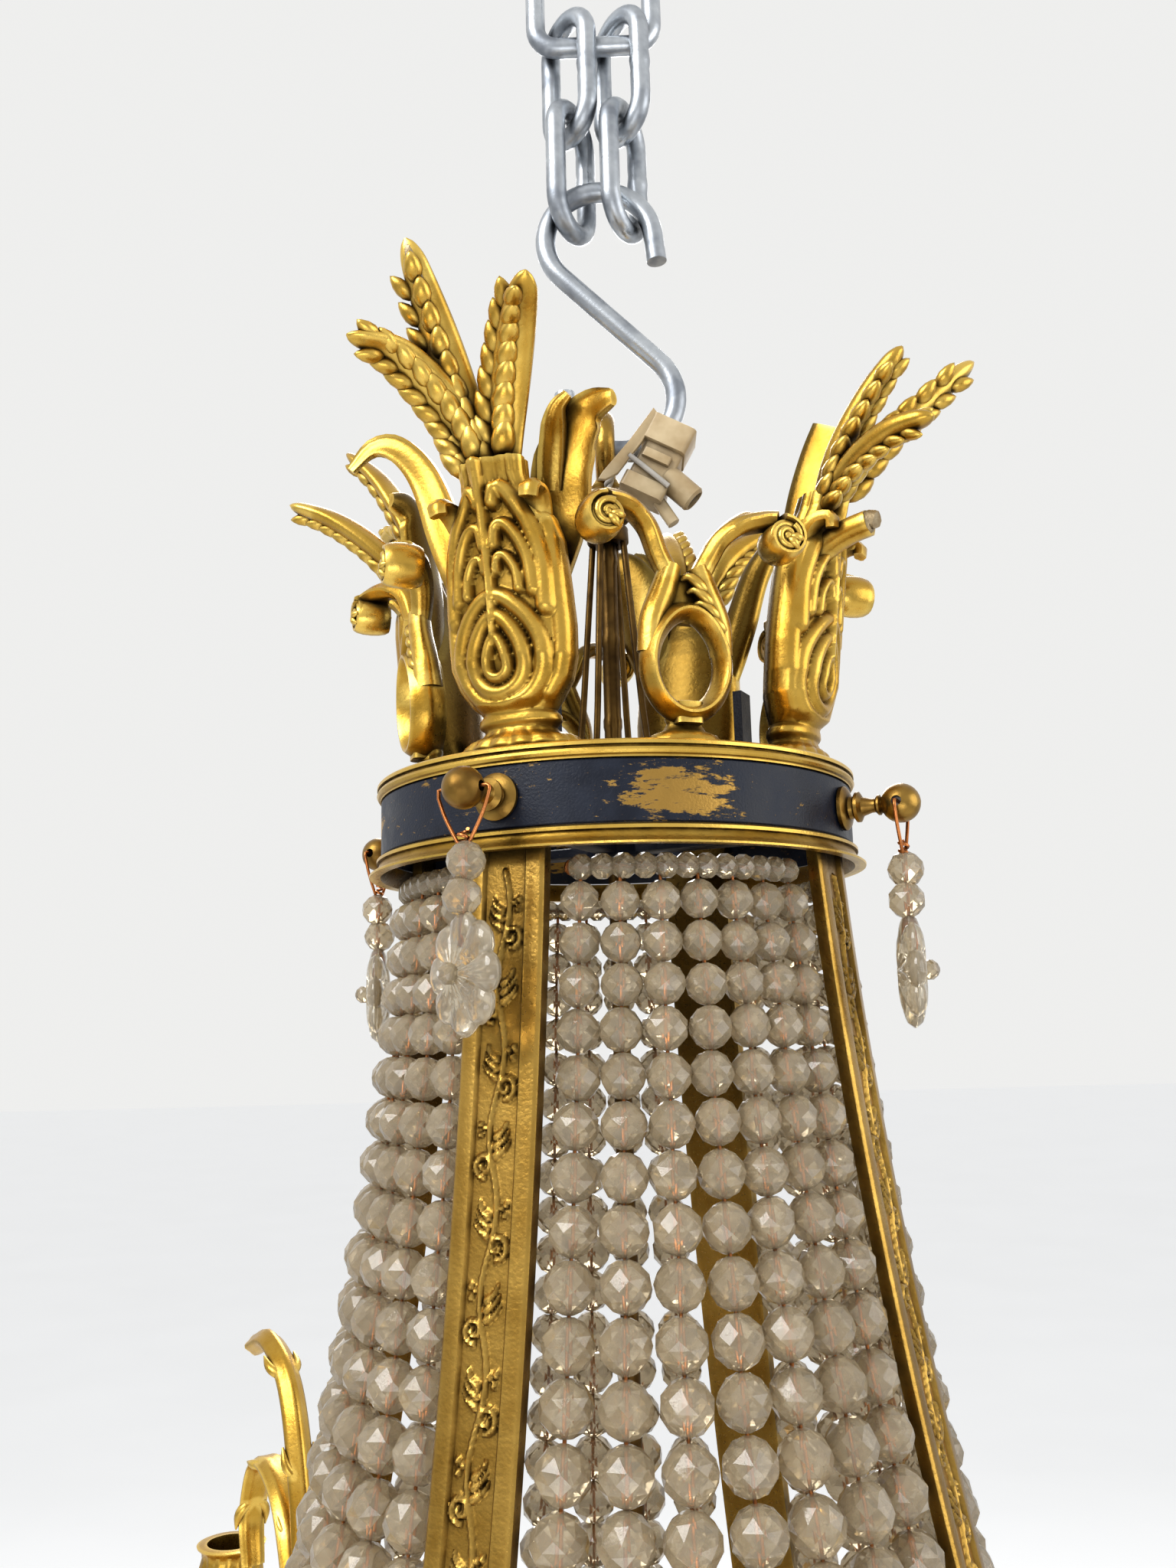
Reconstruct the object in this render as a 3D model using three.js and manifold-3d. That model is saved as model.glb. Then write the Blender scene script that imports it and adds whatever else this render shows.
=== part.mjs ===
// A gilt bronze and glass bead chandelier, hung by a steel hook and a doubled chain.
// Millimetres, +Z up. Heights are counted from the middle of the crown ring's painted band.
// Each ornament is drawn facing -Y and then turned about Z to its station.
import * as THREE from 'three';
import { mergeVertices } from 'three/addons/utils/BufferGeometryUtils.js';
import Module from 'manifold-3d';

const wasm = await Module();
wasm.setup();

// Fits
const GAP = 0.3;
const OVERLAP = 1.2;

// Crown ring
const BAND_RADIUS = 64.3;
const BAND_WALL = 2;
const BAND_HEIGHT = 15;
const TOP_BORDER_HEIGHT = 4.2;
const TOP_BORDER_PROUD = 1.2;
const FLANGE_THICKNESS = 2.8;
const FLANGE_WIDTH = 18;
const BOTTOM_BORDER_HEIGHT = 5;
const LIP_PROUD = 3.2;
const RING_FACETS = 32;

// Staves: their outer face flares from the crown ring to the lower ring
const STAVE_COUNT = 4;
const STAVE_WIDTH = 20.5;
const STAVE_THICKNESS = 3.6;
const STAVE_FLANGE = 4.4;
const STAVE_RECESS = 1.2;
const STAVE_FLARE = 0.0763;
const STAVE_CURVE = 0.0004;
const STAVE_TUCK = 18;

// Lower ring
const LOWER_RING_DROP = 264;
const LOWER_BAND_HEIGHT = 13;
const LOWER_BORDER_HEIGHT = 4.5;
const LOWER_BORDER_PROUD = 1.6;

// Bead curtains
const STRANDS = 5;
const BEADS = 10;
const TOP_BEAD_RADIUS = 5.2;
const BOTTOM_BEAD_RADIUS = 8;
const BEAD_INSET = 5.4;
const STRING_RADIUS = 1.5;
const ROW_RADIUS = 3;
const ROW_DROP = 4;

// Suspension
const STEM_RADIUS = 2.7;
const EYE_RADIUS = 9;
const EYE_WIRE = 3;
const EYE_HEIGHT = 111.3;
const CAGE_ROD_RADIUS = 1.3;
const CAGE_FOOT_RADIUS = 14;
const CAGE_TOP_RADIUS = 4.6;
const HUB_RADIUS = 8;
const CROSS_BAR_WIDTH = 7;
const CROSS_BAR_THICKNESS = 3;
const CROSS_DROP = 4;
const COLLAR_RADIUS = 6;
const COLLAR_HEIGHT = 5;
const UPRIGHT_RADIUS = 38.5;
const UPRIGHT_HEIGHT = 34;
const HOOK_WIRE = 3;
const HOOK_LOOP = 16.25;
const HOOK_CENTRES = 51.5;
const HOOK_TILT = 5.6;
const HOOK_TAIL = 9;
const HOOK_ROOM = 1.2;
const SOCKET_RADIUS = 7;
const SOCKET_HEIGHT = 12;
const HANG_AZIMUTH = 25;
const LINK_WIRE = 3;
const LINK_LENGTH = 46;
const LINK_WIDTH = 24;
const LINK_SPREAD = 8;
const UPPER_LINK_TURN = -50;
const LOWER_LINK_TURN = 62;
const HOOK_LINK_ROOM = 4.9;
const LINK_ROOM = 1.8;
const TOP_LINK_ROOM = 2.8;
const TOP_LINK_HEIGHT = 46;
const TOP_LINK_WIDTH = 42;
const TOP_LINK_CORNER = 7;

// Crown ornaments
const ORNAMENT_RADIUS = 52;
const PALMETTE_HEIGHT = 70;
const PALMETTE_WIDTH = 34;
const PALMETTE_DEPTH = 15;
const EAR_LENGTH = 56;
const EAR_RADIUS = 5.6;
const LOOP_WIRE = 3.4;
const TEARDROP_WIDTH = 22;
const TEARDROP_HEIGHT = 38;
const VOLUTE_RADIUS = 6;
const VOLUTE_SPREAD = 23;
const VOLUTE_REACH = 12;

// Studs and their pendants
const STUD_LENGTH = 15;
const STUD_BALL = 5;
const STUD_HOLE = 1.3;
const PENDANT_WIRE = 0.6;
const PENDANT_DROP = 14;
const PENDANT_BEAD = 4.6;
const ROSETTE_RADIUS = 14;
const ROSETTE_THICKNESS = 7;
const ROSETTE_PETALS = 8;
const PENDANT_TURNS = [-28, 20, 10, 30];

// Candle arms and the lower sac
const ARM_COUNT = 6;
const ARM_REACH = 300;
const ARM_WIRE = 5;
const CUP_DROP = 26;
const CUP_HEIGHT = 30;
const CUP_RADIUS = 13;
const CANDLE_BORE = 10;
const CANDLE_DEPTH = 20;
const PAN_RADIUS = 24;
const PAN_THICKNESS = 1.5;
const SAC_DEPTH = 84;
const SAC_STRINGS = 36;
const SAC_ROWS = 8;
const SAC_BULGE = 3;
const SAC_WALL = 6;
const SAC_MOUTH = 9;
const SAC_INSET = 4;
const FINIAL_LENGTH = 24;
const FINIAL_RADIUS = 11;

// Wiring
const BLOCK_SIZE = new THREE.Vector3(17, 13, 12);
const BLOCK_OFFSET = new THREE.Vector3(12, -20.5, -4.3);
const BLOCK_TURN = 28;
const TURRET_RADIUS = 4.3;
const TURRET_LENGTH = 10.5;
const LEAD_RADIUS = 1.3;

// Heights and radii that follow from the sizes above
const apothem = Math.cos(Math.PI / RING_FACETS);
const bandTop = BAND_HEIGHT / 2;
const ringTop = bandTop + GAP + TOP_BORDER_HEIGHT;
const ringBottom = -bandTop - GAP - BOTTOM_BORDER_HEIGHT;
const ringBore = BAND_RADIUS - BAND_WALL;
const staveTop = ringBottom + STAVE_TUCK;
const lowerBandTop = -LOWER_RING_DROP + LOWER_BAND_HEIGHT / 2;
const lowerBandBottom = -LOWER_RING_DROP - LOWER_BAND_HEIGHT / 2;
const lowerRingTop = lowerBandTop + GAP + LOWER_BORDER_HEIGHT;
const lowerRingBottom = lowerBandBottom - GAP - LOWER_BORDER_HEIGHT;
const staveFoot = lowerRingTop - LOWER_BORDER_HEIGHT * 2;
const staveReach = staveRadius(lowerRingTop);
const lowerBandRadius = (staveReach + GAP) / apothem + BAND_WALL;
const sacTop = lowerRingBottom - GAP;
const sacBottom = sacTop - SAC_DEPTH;
const cupFoot = -LOWER_RING_DROP - CUP_DROP;
const crossTop = -CROSS_DROP;
const eyeTop = EYE_HEIGHT + EYE_RADIUS;
const socketFoot = EYE_HEIGHT - EYE_RADIUS - SOCKET_HEIGHT;
const hookBottom = eyeTop - EYE_WIRE - HOOK_WIRE - HOOK_ROOM;
const hookLowerCentre = hookCentre();
const hookUpperCentre = hookLowerCentre.clone()
  .add(polar(HOOK_CENTRES, 90 + HOOK_TILT));
const hookAtLink = hookUpperCentre.y + Math.sqrt(HOOK_LOOP ** 2 - LINK_SPREAD ** 2);
const linkPitch = LINK_LENGTH - 2 * LINK_WIRE;
const contact = 2 * LINK_WIRE + GAP;
const lowerLinkBottom = hookAtLink - contact - HOOK_LINK_ROOM;
const upperLinkBottom = lowerLinkBottom + linkPitch - contact - LINK_ROOM;
const topLinkBottom = upperLinkBottom + linkPitch - contact - TOP_LINK_ROOM;
const suspension = topLinkBottom + TOP_LINK_HEIGHT - 3 * LINK_WIRE;

const FINISHES = {
  gilt: new THREE.MeshStandardMaterial({ color: 0xc29a2e, roughness: 0.34, metalness: 1 }),
  navy: new THREE.MeshStandardMaterial({ color: 0x1d2634, roughness: 0.5, metalness: 0 }),
  zinc: new THREE.MeshStandardMaterial({ color: 0xb4bcc4, roughness: 0.3, metalness: 1 }),
  glass: new THREE.MeshStandardMaterial({ color: 0xa08c72, roughness: 0.12, metalness: 0 }),
  ivory: new THREE.MeshStandardMaterial({ color: 0xbfa880, roughness: 0.5, metalness: 0 }),
  wire: new THREE.MeshStandardMaterial({ color: 0xbcb4a8, roughness: 0.5, metalness: 0 }),
};

// Outer face radius of a stave at a height.
function staveRadius(height) {
  const drop = Math.max(0, ringBottom - height);
  return ringBore * apothem - GAP + STAVE_FLARE * drop + STAVE_CURVE * drop * drop;
}

// A point given tangentially, outward and up, in the frame of an ornament facing -Y.
function at(along, outward, up) {
  return new THREE.Vector3(along, -outward, up);
}

// A plane point at an angle in degrees.
function polar(radius, degrees) {
  const angle = THREE.MathUtils.degToRad(degrees);
  return new THREE.Vector2(radius * Math.cos(angle), radius * Math.sin(angle));
}

// Centre of the hook's lower loop, whose wire rests against the eye on the stem's axis.
function hookCentre() {
  const aside = HOOK_CENTRES * Math.sin(THREE.MathUtils.degToRad(HOOK_TILT));
  return new THREE.Vector2(aside, hookBottom + Math.sqrt(HOOK_LOOP ** 2 - aside ** 2));
}

// Cap triangles of a flat outline, in the order of its points.
function capTriangles(ring) {
  const centre = ring.reduce((sum, p) => sum.add(p), new THREE.Vector3()).divideScalar(ring.length);
  const normal = new THREE.Vector3();
  ring.forEach((p, i) => {
    const next = ring[(i + 1) % ring.length];
    normal.add(p.clone().sub(centre).cross(next.clone().sub(centre)));
  });
  normal.normalize();
  const right = ring[0].clone().sub(centre).normalize();
  const up = normal.clone().cross(right);
  const flat = ring.map((p) => {
    const arm = p.clone().sub(centre);
    return new THREE.Vector2(arm.dot(right), arm.dot(up));
  });
  return THREE.ShapeUtils.triangulateShape(flat, []);
}

// Reverses a geometry's faces if they point inwards.
function facingOut(geometry) {
  const p = geometry.getAttribute('position');
  const index = geometry.index.array;
  const [a, b, c] = [new THREE.Vector3(), new THREE.Vector3(), new THREE.Vector3()];
  let volume = 0;
  for (let i = 0; i < index.length; i += 3) {
    a.fromBufferAttribute(p, index[i]);
    b.fromBufferAttribute(p, index[i + 1]);
    c.fromBufferAttribute(p, index[i + 2]);
    volume += a.dot(b.cross(c));
  }
  if (volume < 0) {
    for (let i = 0; i < index.length; i += 3) {
      [index[i + 1], index[i + 2]] = [index[i + 2], index[i + 1]];
    }
  }
  return geometry;
}

// A closed body through rings of equally many points, capped at its ends or joined into a loop.
function loft(rings, looped = false) {
  const sides = rings[0].length;
  const last = (rings.length - 1) * sides;
  const faces = [];
  const spans = looped ? rings.length : rings.length - 1;
  for (let i = 0; i < spans; i += 1) {
    const here = i * sides;
    const next = ((i + 1) % rings.length) * sides;
    for (let j = 0; j < sides; j += 1) {
      const k = (j + 1) % sides;
      faces.push(here + j, here + k, next + k, here + j, next + k, next + j);
    }
  }
  if (!looped) {
    capTriangles(rings[0]).forEach(([a, b, c]) => faces.push(a, c, b));
    capTriangles(rings.at(-1)).forEach(([a, b, c]) => faces.push(last + a, last + b, last + c));
  }
  const geometry = new THREE.BufferGeometry().setFromPoints(rings.flat());
  geometry.setIndex(faces);
  return facingOut(geometry);
}

// An oval section along a path: size(share) gives half its width along `across` and half its depth.
function sweep(path, size, sides, across, looped = false) {
  const count = path.length;
  const rings = path.map((p, i) => {
    const before = path[looped ? (i + count - 1) % count : Math.max(i - 1, 0)];
    const after = path[looped ? (i + 1) % count : Math.min(i + 1, count - 1)];
    const along = after.clone().sub(before).normalize();
    const deep = along.clone().cross(across).normalize();
    const wide = deep.clone().cross(along);
    const [width, depth] = size(i / (count - 1));
    return Array.from({ length: sides }, (_, j) => {
      const turn = polar(1, (360 * (j + 0.5)) / sides);
      return p.clone().addScaledVector(wide, width * turn.x).addScaledVector(deep, depth * turn.y);
    });
  });
  return loft(rings, looped);
}

// Points along a smooth curve through the given ones.
function smooth(points, count) {
  return new THREE.CatmullRomCurve3(points, false, 'centripetal').getSpacedPoints(count);
}

// Oval levels stacked upwards: each is height, half width, half depth and outward shift.
function stack(levels, sides) {
  return loft(levels.map(([up, width, depth, outward]) => (
    Array.from({ length: sides }, (_, j) => {
      const turn = polar(1, (360 * (j + 0.5)) / sides);
      return at(width * turn.x, outward + depth * turn.y, up);
    })
  )));
}

// A body turned about Z from a profile of radius and height that closes on itself or on the axis.
function turned(profile, facets) {
  const points = profile.map(([r, z]) => new THREE.Vector2(r, z));
  if (profile[0][0] > 0) points.push(points[0].clone());
  return facingOut(plain(new THREE.LatheGeometry(points, facets).rotateX(Math.PI / 2)));
}

// Positions only, with shared vertices merged and collapsed faces dropped.
function plain(geometry) {
  geometry.deleteAttribute('normal');
  geometry.deleteAttribute('uv');
  const merged = mergeVertices(geometry, 1e-3);
  const kept = [];
  const index = merged.index.array;
  for (let i = 0; i < index.length; i += 3) {
    const [a, b, c] = index.subarray(i, i + 3);
    if (a !== b && b !== c && a !== c) kept.push(a, b, c);
  }
  merged.setIndex(kept);
  return merged;
}

function solid(geometry) {
  const merged = plain(geometry.clone());
  return new wasm.Manifold(new wasm.Mesh({
    numProp: 3,
    vertProperties: new Float32Array(merged.getAttribute('position').array),
    triVerts: new Uint32Array(merged.index.array),
  }));
}

function geometryOf(body) {
  const mesh = body.getMesh();
  const geometry = new THREE.BufferGeometry();
  geometry.setAttribute('position', new THREE.BufferAttribute(mesh.vertProperties, 3));
  geometry.setIndex(new THREE.BufferAttribute(mesh.triVerts, 1));
  return geometry;
}

function join(geometries) {
  return geometryOf(geometries.map(solid).reduce((all, one) => all.add(one)));
}

function cut(geometry, tool) {
  return geometryOf(solid(geometry).subtract(solid(tool)));
}

// A round rod between two points.
function rod(from, to, radius, sides, across) {
  return sweep([from, to], () => [radius, radius], sides, across);
}

function mesh(name, geometry, finish) {
  const made = new THREE.Mesh(geometry, FINISHES[finish]);
  made.name = name;
  return made;
}

// A group turned to an azimuth, counted from -Y towards +X.
function station(azimuth, ...members) {
  const group = new THREE.Group();
  group.rotation.z = THREE.MathUtils.degToRad(azimuth);
  group.add(...members);
  return group;
}

// Crown and lower rings

function crownBand() {
  return turned([
    [ringBore, -bandTop], [BAND_RADIUS, -bandTop], [BAND_RADIUS, bandTop], [ringBore, bandTop],
  ], RING_FACETS);
}

function crownTopBorder() {
  const low = bandTop + GAP;
  const flange = ringTop - FLANGE_THICKNESS;
  const outer = BAND_RADIUS + TOP_BORDER_PROUD;
  return turned([
    [BAND_RADIUS - FLANGE_WIDTH, flange],
    [ringBore, low],
    [outer, low],
    [outer - 0.8, ringTop],
    [BAND_RADIUS - FLANGE_WIDTH, ringTop],
  ], RING_FACETS);
}

function crownBottomBorder() {
  const high = -bandTop - GAP;
  return turned([
    [ringBore, high],
    [ringBore + LIP_PROUD * 0.7, ringBottom],
    [BAND_RADIUS + LIP_PROUD, ringBottom],
    [BAND_RADIUS + TOP_BORDER_PROUD, high - BOTTOM_BORDER_HEIGHT / 2],
    [BAND_RADIUS + TOP_BORDER_PROUD, high],
  ], RING_FACETS);
}

function lowerBand() {
  return turned([
    [lowerBandRadius - BAND_WALL, lowerBandBottom],
    [lowerBandRadius, lowerBandBottom],
    [lowerBandRadius, lowerBandTop],
    [lowerBandRadius - BAND_WALL, lowerBandTop],
  ], RING_FACETS);
}

// A moulded border on the lower ring, above the band (side 1) or below it (side -1).
function lowerBorder(side) {
  const near = -LOWER_RING_DROP + side * (LOWER_BAND_HEIGHT / 2 + GAP);
  const far = near + side * LOWER_BORDER_HEIGHT;
  const outer = lowerBandRadius + LOWER_BORDER_PROUD;
  return turned([
    [lowerBandRadius - BAND_WALL, near],
    [outer, near],
    [outer - 1, far],
    [lowerBandRadius - BAND_WALL, far],
  ], RING_FACETS);
}

// Staves

function stave() {
  const half = STAVE_WIDTH / 2;
  const inner = half - STAVE_FLANGE;
  const section = [
    [-half, 0], [-inner, 0], [-inner + 0.8, -STAVE_RECESS], [inner - 0.8, -STAVE_RECESS],
    [inner, 0], [half, 0], [half, -STAVE_THICKNESS], [-half, -STAVE_THICKNESS],
  ];
  const steps = 6;
  const heights = [staveTop];
  for (let i = 0; i <= steps; i += 1) {
    heights.push(THREE.MathUtils.lerp(ringBottom, lowerRingTop, i / steps));
  }
  heights.push(staveFoot);
  return loft(heights.map((z) => {
    const radius = Math.min(staveRadius(z), staveReach);
    return section.map(([along, outward]) => (
      at(along, Math.sqrt(radius ** 2 - along ** 2) + outward, z)
    ));
  }));
}

// Bead curtains

// One string of beads at an angle off the curtain's middle, which grows from its top to its foot.
function beadString(topAngle, footAngle, top, foot) {
  const rings = [];
  const total = 2 * BEADS;
  for (let i = 0; i <= total; i += 1) {
    const share = i / total;
    const grown = share * (0.8 + 0.2 * share);
    const z = THREE.MathUtils.lerp(top, foot, grown);
    const azimuth = THREE.MathUtils.degToRad(THREE.MathUtils.lerp(topAngle, footAngle, grown));
    const radius = staveRadius(z) - BEAD_INSET;
    const bead = THREE.MathUtils.lerp(TOP_BEAD_RADIUS, BOTTOM_BEAD_RADIUS, grown);
    const size = i % 2 ? bead : STRING_RADIUS;
    rings.push([0, 1, 2, 3].map((j) => {
      const turn = polar(size, 90 * j);
      const out = radius + turn.x;
      return new THREE.Vector3(
        Math.sin(azimuth) * out + Math.cos(azimuth) * turn.y,
        -Math.cos(azimuth) * out + Math.sin(azimuth) * turn.y,
        z,
      );
    }));
  }
  return loft(rings);
}

// A bent wire or bead row that follows the curtain at one height.
function curtainRail(z, halfAngle, radius, sides) {
  const steps = 6;
  const reach = staveRadius(z) - BEAD_INSET;
  const path = Array.from({ length: steps + 1 }, (_, i) => {
    const azimuth = THREE.MathUtils.degToRad(THREE.MathUtils.lerp(-halfAngle, halfAngle, i / steps));
    return at(reach * Math.sin(azimuth), reach * Math.cos(azimuth), z);
  });
  return sweep(path, () => [radius, radius], sides, new THREE.Vector3(0, 0, 1));
}

// Half the angle that the strings' axes may span between two staves.
function curtainHalfAngle(z, bead) {
  const reach = staveRadius(z) - BEAD_INSET;
  const taken = Math.asin((STAVE_WIDTH / 2 + bead + 1) / reach);
  return 180 / STAVE_COUNT - THREE.MathUtils.radToDeg(taken);
}

function beadCurtain() {
  const top = ringBottom - ROW_DROP;
  const foot = lowerRingTop + ROW_DROP;
  const topHalf = curtainHalfAngle(top, TOP_BEAD_RADIUS);
  const footHalf = curtainHalfAngle(foot, BOTTOM_BEAD_RADIUS);
  const parts = [
    curtainRail(top, topHalf + 2, ROW_RADIUS, 5),
    curtainRail(foot, footHalf + 1, STRING_RADIUS * 1.4, 4),
  ];
  for (let i = 0; i < STRANDS; i += 1) {
    const share = (2 * i) / (STRANDS - 1) - 1;
    parts.push(beadString(share * topHalf, share * footHalf, top, foot));
  }
  return join(parts);
}

// Crown ornaments

function palmetteBody() {
  const half = PALMETTE_WIDTH / 2;
  const deep = PALMETTE_DEPTH / 2;
  const high = PALMETTE_HEIGHT;
  return stack([
    [0, half * 0.95, deep * 1.15, 0],
    [0.05 * high, half * 0.88, deep * 1.05, 0],
    [0.08 * high, half * 0.56, deep * 0.8, 0.3],
    [0.13 * high, half * 0.6, deep * 0.8, 0.8],
    [0.32 * high, half, deep, 2.5],
    [0.52 * high, half * 0.97, deep, 4],
    [0.72 * high, half * 0.82, deep * 0.95, 6],
    [0.9 * high, half * 0.6, deep * 0.8, 9],
    [high, half * 0.36, deep * 0.6, 12],
  ], 8);
}

// Routes of the side leaves: along, outward and a share of the body's height.
const LEAF_ROUTES = {
  left: [[-10, 2, 0.5], [-18, 3, 0.78], [-26, 6, 1.05], [-34, 9, 1.09], [-39, 12, 1.02]],
  right: [[10, 0, 0.5], [18, -1, 0.78], [22, -1, 1.08], [26, 1, 1.28], [32, 3, 1.3]],
};

// A side leaf: it leaves the body's shoulder, rises and rolls over at its tip.
function palmetteLeaf(route) {
  const path = route.map(([along, outward, share]) => at(along, outward, share * PALMETTE_HEIGHT));
  const size = (share) => [THREE.MathUtils.lerp(6, 3.2, share), THREE.MathUtils.lerp(3, 1.2, share)];
  return sweep(smooth(path, 4), size, 5, new THREE.Vector3(0, -1, 0));
}

// The stalk that is left on the right-hand palmette, whose left leaf has broken off.
function brokenStalk() {
  const high = PALMETTE_HEIGHT;
  const path = [at(-5, 8, 0.76 * high), at(-8, 18, 0.84 * high), at(-9, 26, 0.87 * high)];
  return sweep(path, (share) => [3.4 - 0.6 * share, 3.4 - 0.6 * share], 5, new THREE.Vector3(1, 0, 0));
}

// An ear of wheat from the top of the body, with a bulge for each pair of grains.
function wheatEar(lean, outward, bend) {
  const foot = at(lean * 0.08, 10, PALMETTE_HEIGHT * 0.94);
  const rise = Math.sqrt(Math.max(1, EAR_LENGTH ** 2 - lean ** 2 - outward ** 2));
  const tip = foot.clone().add(at(lean, outward, rise));
  const middle = foot.clone().lerp(tip, 0.5).add(at(0, -bend, bend));
  const path = smooth([foot, middle, tip], 4);
  const size = (share) => {
    const bulge = EAR_RADIUS * Math.sin(Math.PI * (0.16 + 0.78 * share));
    return [bulge, bulge * 0.75];
  };
  return sweep(path, size, 5, new THREE.Vector3(1, 0, 0));
}

// The outward lobes that cap the body's two shoulders.
function shoulderLobe(side) {
  const high = PALMETTE_HEIGHT;
  const path = [at(side * 8, 5, 0.72 * high), at(side * 12, 12, 0.86 * high), at(side * 13, 18, 0.88 * high)];
  return sweep(path, (share) => [5 - 2 * share, 3.4 - 1.4 * share], 5, new THREE.Vector3(1, 0, 0));
}

function palmette(broken) {
  return join([
    palmetteBody(),
    broken ? brokenStalk() : palmetteLeaf(LEAF_ROUTES.left),
    palmetteLeaf(LEAF_ROUTES.right),
    shoulderLobe(-1),
    shoulderLobe(1),
    wheatEar(-27, 36, 5),
    wheatEar(-11, 33, 2),
    wheatEar(19, 29, 2),
  ]);
}

function teardrop() {
  const half = TEARDROP_WIDTH / 2;
  const low = LOOP_WIRE + 3;
  const steps = 11;
  const path = Array.from({ length: steps }, (_, i) => {
    const turn = polar(1, (360 * i) / steps - 90);
    const up = (turn.y + 1) / 2;
    const narrow = 1 - 0.45 * up * up;
    return at(half * narrow * turn.x, 2 + 2 * up, low + TEARDROP_HEIGHT * up);
  });
  return sweep(path, () => [LOOP_WIRE * 1.25, LOOP_WIRE * 0.8], 5, new THREE.Vector3(0, -1, 0), true);
}

// An arm from the teardrop's top that arches aside and ends in a volute facing out.
function volutedArm(side) {
  const top = TEARDROP_HEIGHT + LOOP_WIRE;
  const path = smooth([
    at(side * 1.5, 3, top),
    at(side * 6, 5, top + 14),
    at(side * 15, 8, top + 22),
    at(side * VOLUTE_SPREAD, VOLUTE_REACH - 1, top + 18),
    at(side * (VOLUTE_SPREAD + 1), VOLUTE_REACH, top + 11),
  ], 4);
  const arm = sweep(path, (share) => [3 + share, 2.6], 5, new THREE.Vector3(0, -1, 0));
  const round = VOLUTE_RADIUS;
  const scroll = turned([
    [0, -round], [round * 0.75, -round * 0.9], [round, 0], [round * 0.75, round * 0.9], [0, round],
  ], 6);
  scroll.rotateX(Math.PI / 2);
  scroll.translate(...at(side * VOLUTE_SPREAD, VOLUTE_REACH, top + 10).toArray());
  return [arm, scroll];
}

function scrollLoop() {
  const foot = stack([[0, 9, 6, 0], [3, 8, 5.4, 0], [6, 4.6, 3.8, 1], [9, 4.6, 3.6, 1.5]], 6);
  return join([foot, teardrop(), ...volutedArm(-1), ...volutedArm(1)]);
}

// Studs and pendants

function studBallRadius() {
  return BAND_RADIUS + GAP + STUD_LENGTH;
}

// A turned stud on the band: flange, collar, neck and a drilled ball.
function stud() {
  const ball = STUD_BALL;
  const centre = STUD_LENGTH;
  const body = turned([
    [0, 0],
    [ball * 1.15, 0],
    [ball * 1.15, 1.8],
    [ball * 0.6, 3],
    [ball * 0.42, centre - ball * 0.95],
    [ball * 0.9, centre - ball * 0.45],
    [ball * 0.9, centre + ball * 0.45],
    [0, centre + ball],
  ], 9);
  body.rotateX(Math.PI / 2);
  body.translate(...at(0, BAND_RADIUS + GAP, 0).toArray());
  const across = ball + 1;
  const hole = rod(
    at(-across, studBallRadius(), 0),
    at(across, studBallRadius(), 0),
    STUD_HOLE,
    5,
    new THREE.Vector3(0, 0, 1),
  );
  return cut(body, hole);
}

// A scalloped disc with a button, standing on edge and turned about the vertical.
function rosette(centre, turn) {
  const outline = (radius, deep) => Array.from({ length: 2 * ROSETTE_PETALS }, (_, i) => {
    const spoke = polar(radius * (i % 2 ? 0.86 : 1), (180 * i) / ROSETTE_PETALS);
    return at(spoke.x, deep, spoke.y);
  });
  const half = ROSETTE_THICKNESS / 2;
  const disc = loft([
    outline(ROSETTE_RADIUS * 0.55, -half),
    outline(ROSETTE_RADIUS, 0),
    outline(ROSETTE_RADIUS * 0.35, half + 1),
  ]);
  disc.rotateZ(THREE.MathUtils.degToRad(turn));
  disc.translate(...centre.toArray());
  return disc;
}

function bead(centre, radius) {
  const wide = radius * 0.86;
  const half = radius * 0.5;
  const ball = turned([[0, -radius], [wide, -half], [wide, half], [0, radius]], 6);
  ball.translate(...centre.toArray());
  return ball;
}

// A wire through the stud's ball carries two beads and a rosette straight below it.
function pendant(turn) {
  const reach = studBallRadius();
  const side = STUD_BALL + PENDANT_WIRE + 1;
  const wire = sweep([
    at(-side, reach, 0), at(side, reach, 0), at(side * 0.7, reach, -STUD_BALL - 2),
    at(PENDANT_WIRE, reach, -PENDANT_DROP), at(-PENDANT_WIRE, reach, -PENDANT_DROP),
    at(-side * 0.7, reach, -STUD_BALL - 2),
  ], () => [PENDANT_WIRE, PENDANT_WIRE], 4, new THREE.Vector3(0, -1, 0), true);
  const first = -PENDANT_DROP - PENDANT_BEAD * 0.6;
  const second = first - PENDANT_BEAD * 1.7;
  const flower = second - PENDANT_BEAD * 0.7 - ROSETTE_RADIUS;
  return join([
    wire,
    bead(at(0.6, reach, first), PENDANT_BEAD),
    bead(at(-0.6, reach, second), PENDANT_BEAD),
    rosette(at(0, reach, flower), turn),
  ]);
}

// Suspension

// Each level of the doubled chain: its height and its links' turn about the vertical.
const LINK_LEVELS = [
  ['upper', upperLinkBottom, UPPER_LINK_TURN],
  ['lower', lowerLinkBottom, LOWER_LINK_TURN],
];

// A stadium-shaped ring of round wire in the XZ plane, standing on its lowest wire.
function chainLink(length, width, wire) {
  const bend = width / 2 - wire;
  const rise = length - 2 * wire - 2 * bend;
  const arc = 5;
  const path = [];
  for (let i = 0; i <= arc; i += 1) {
    const turn = polar(bend, 180 + (180 * i) / arc);
    path.push(at(turn.x, 0, bend + turn.y));
  }
  for (let i = 0; i <= arc; i += 1) {
    const turn = polar(bend, (180 * i) / arc);
    path.push(at(turn.x, 0, bend + rise + turn.y));
  }
  return sweep(path, () => [wire, wire], 6, new THREE.Vector3(0, 1, 0), true);
}

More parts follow.
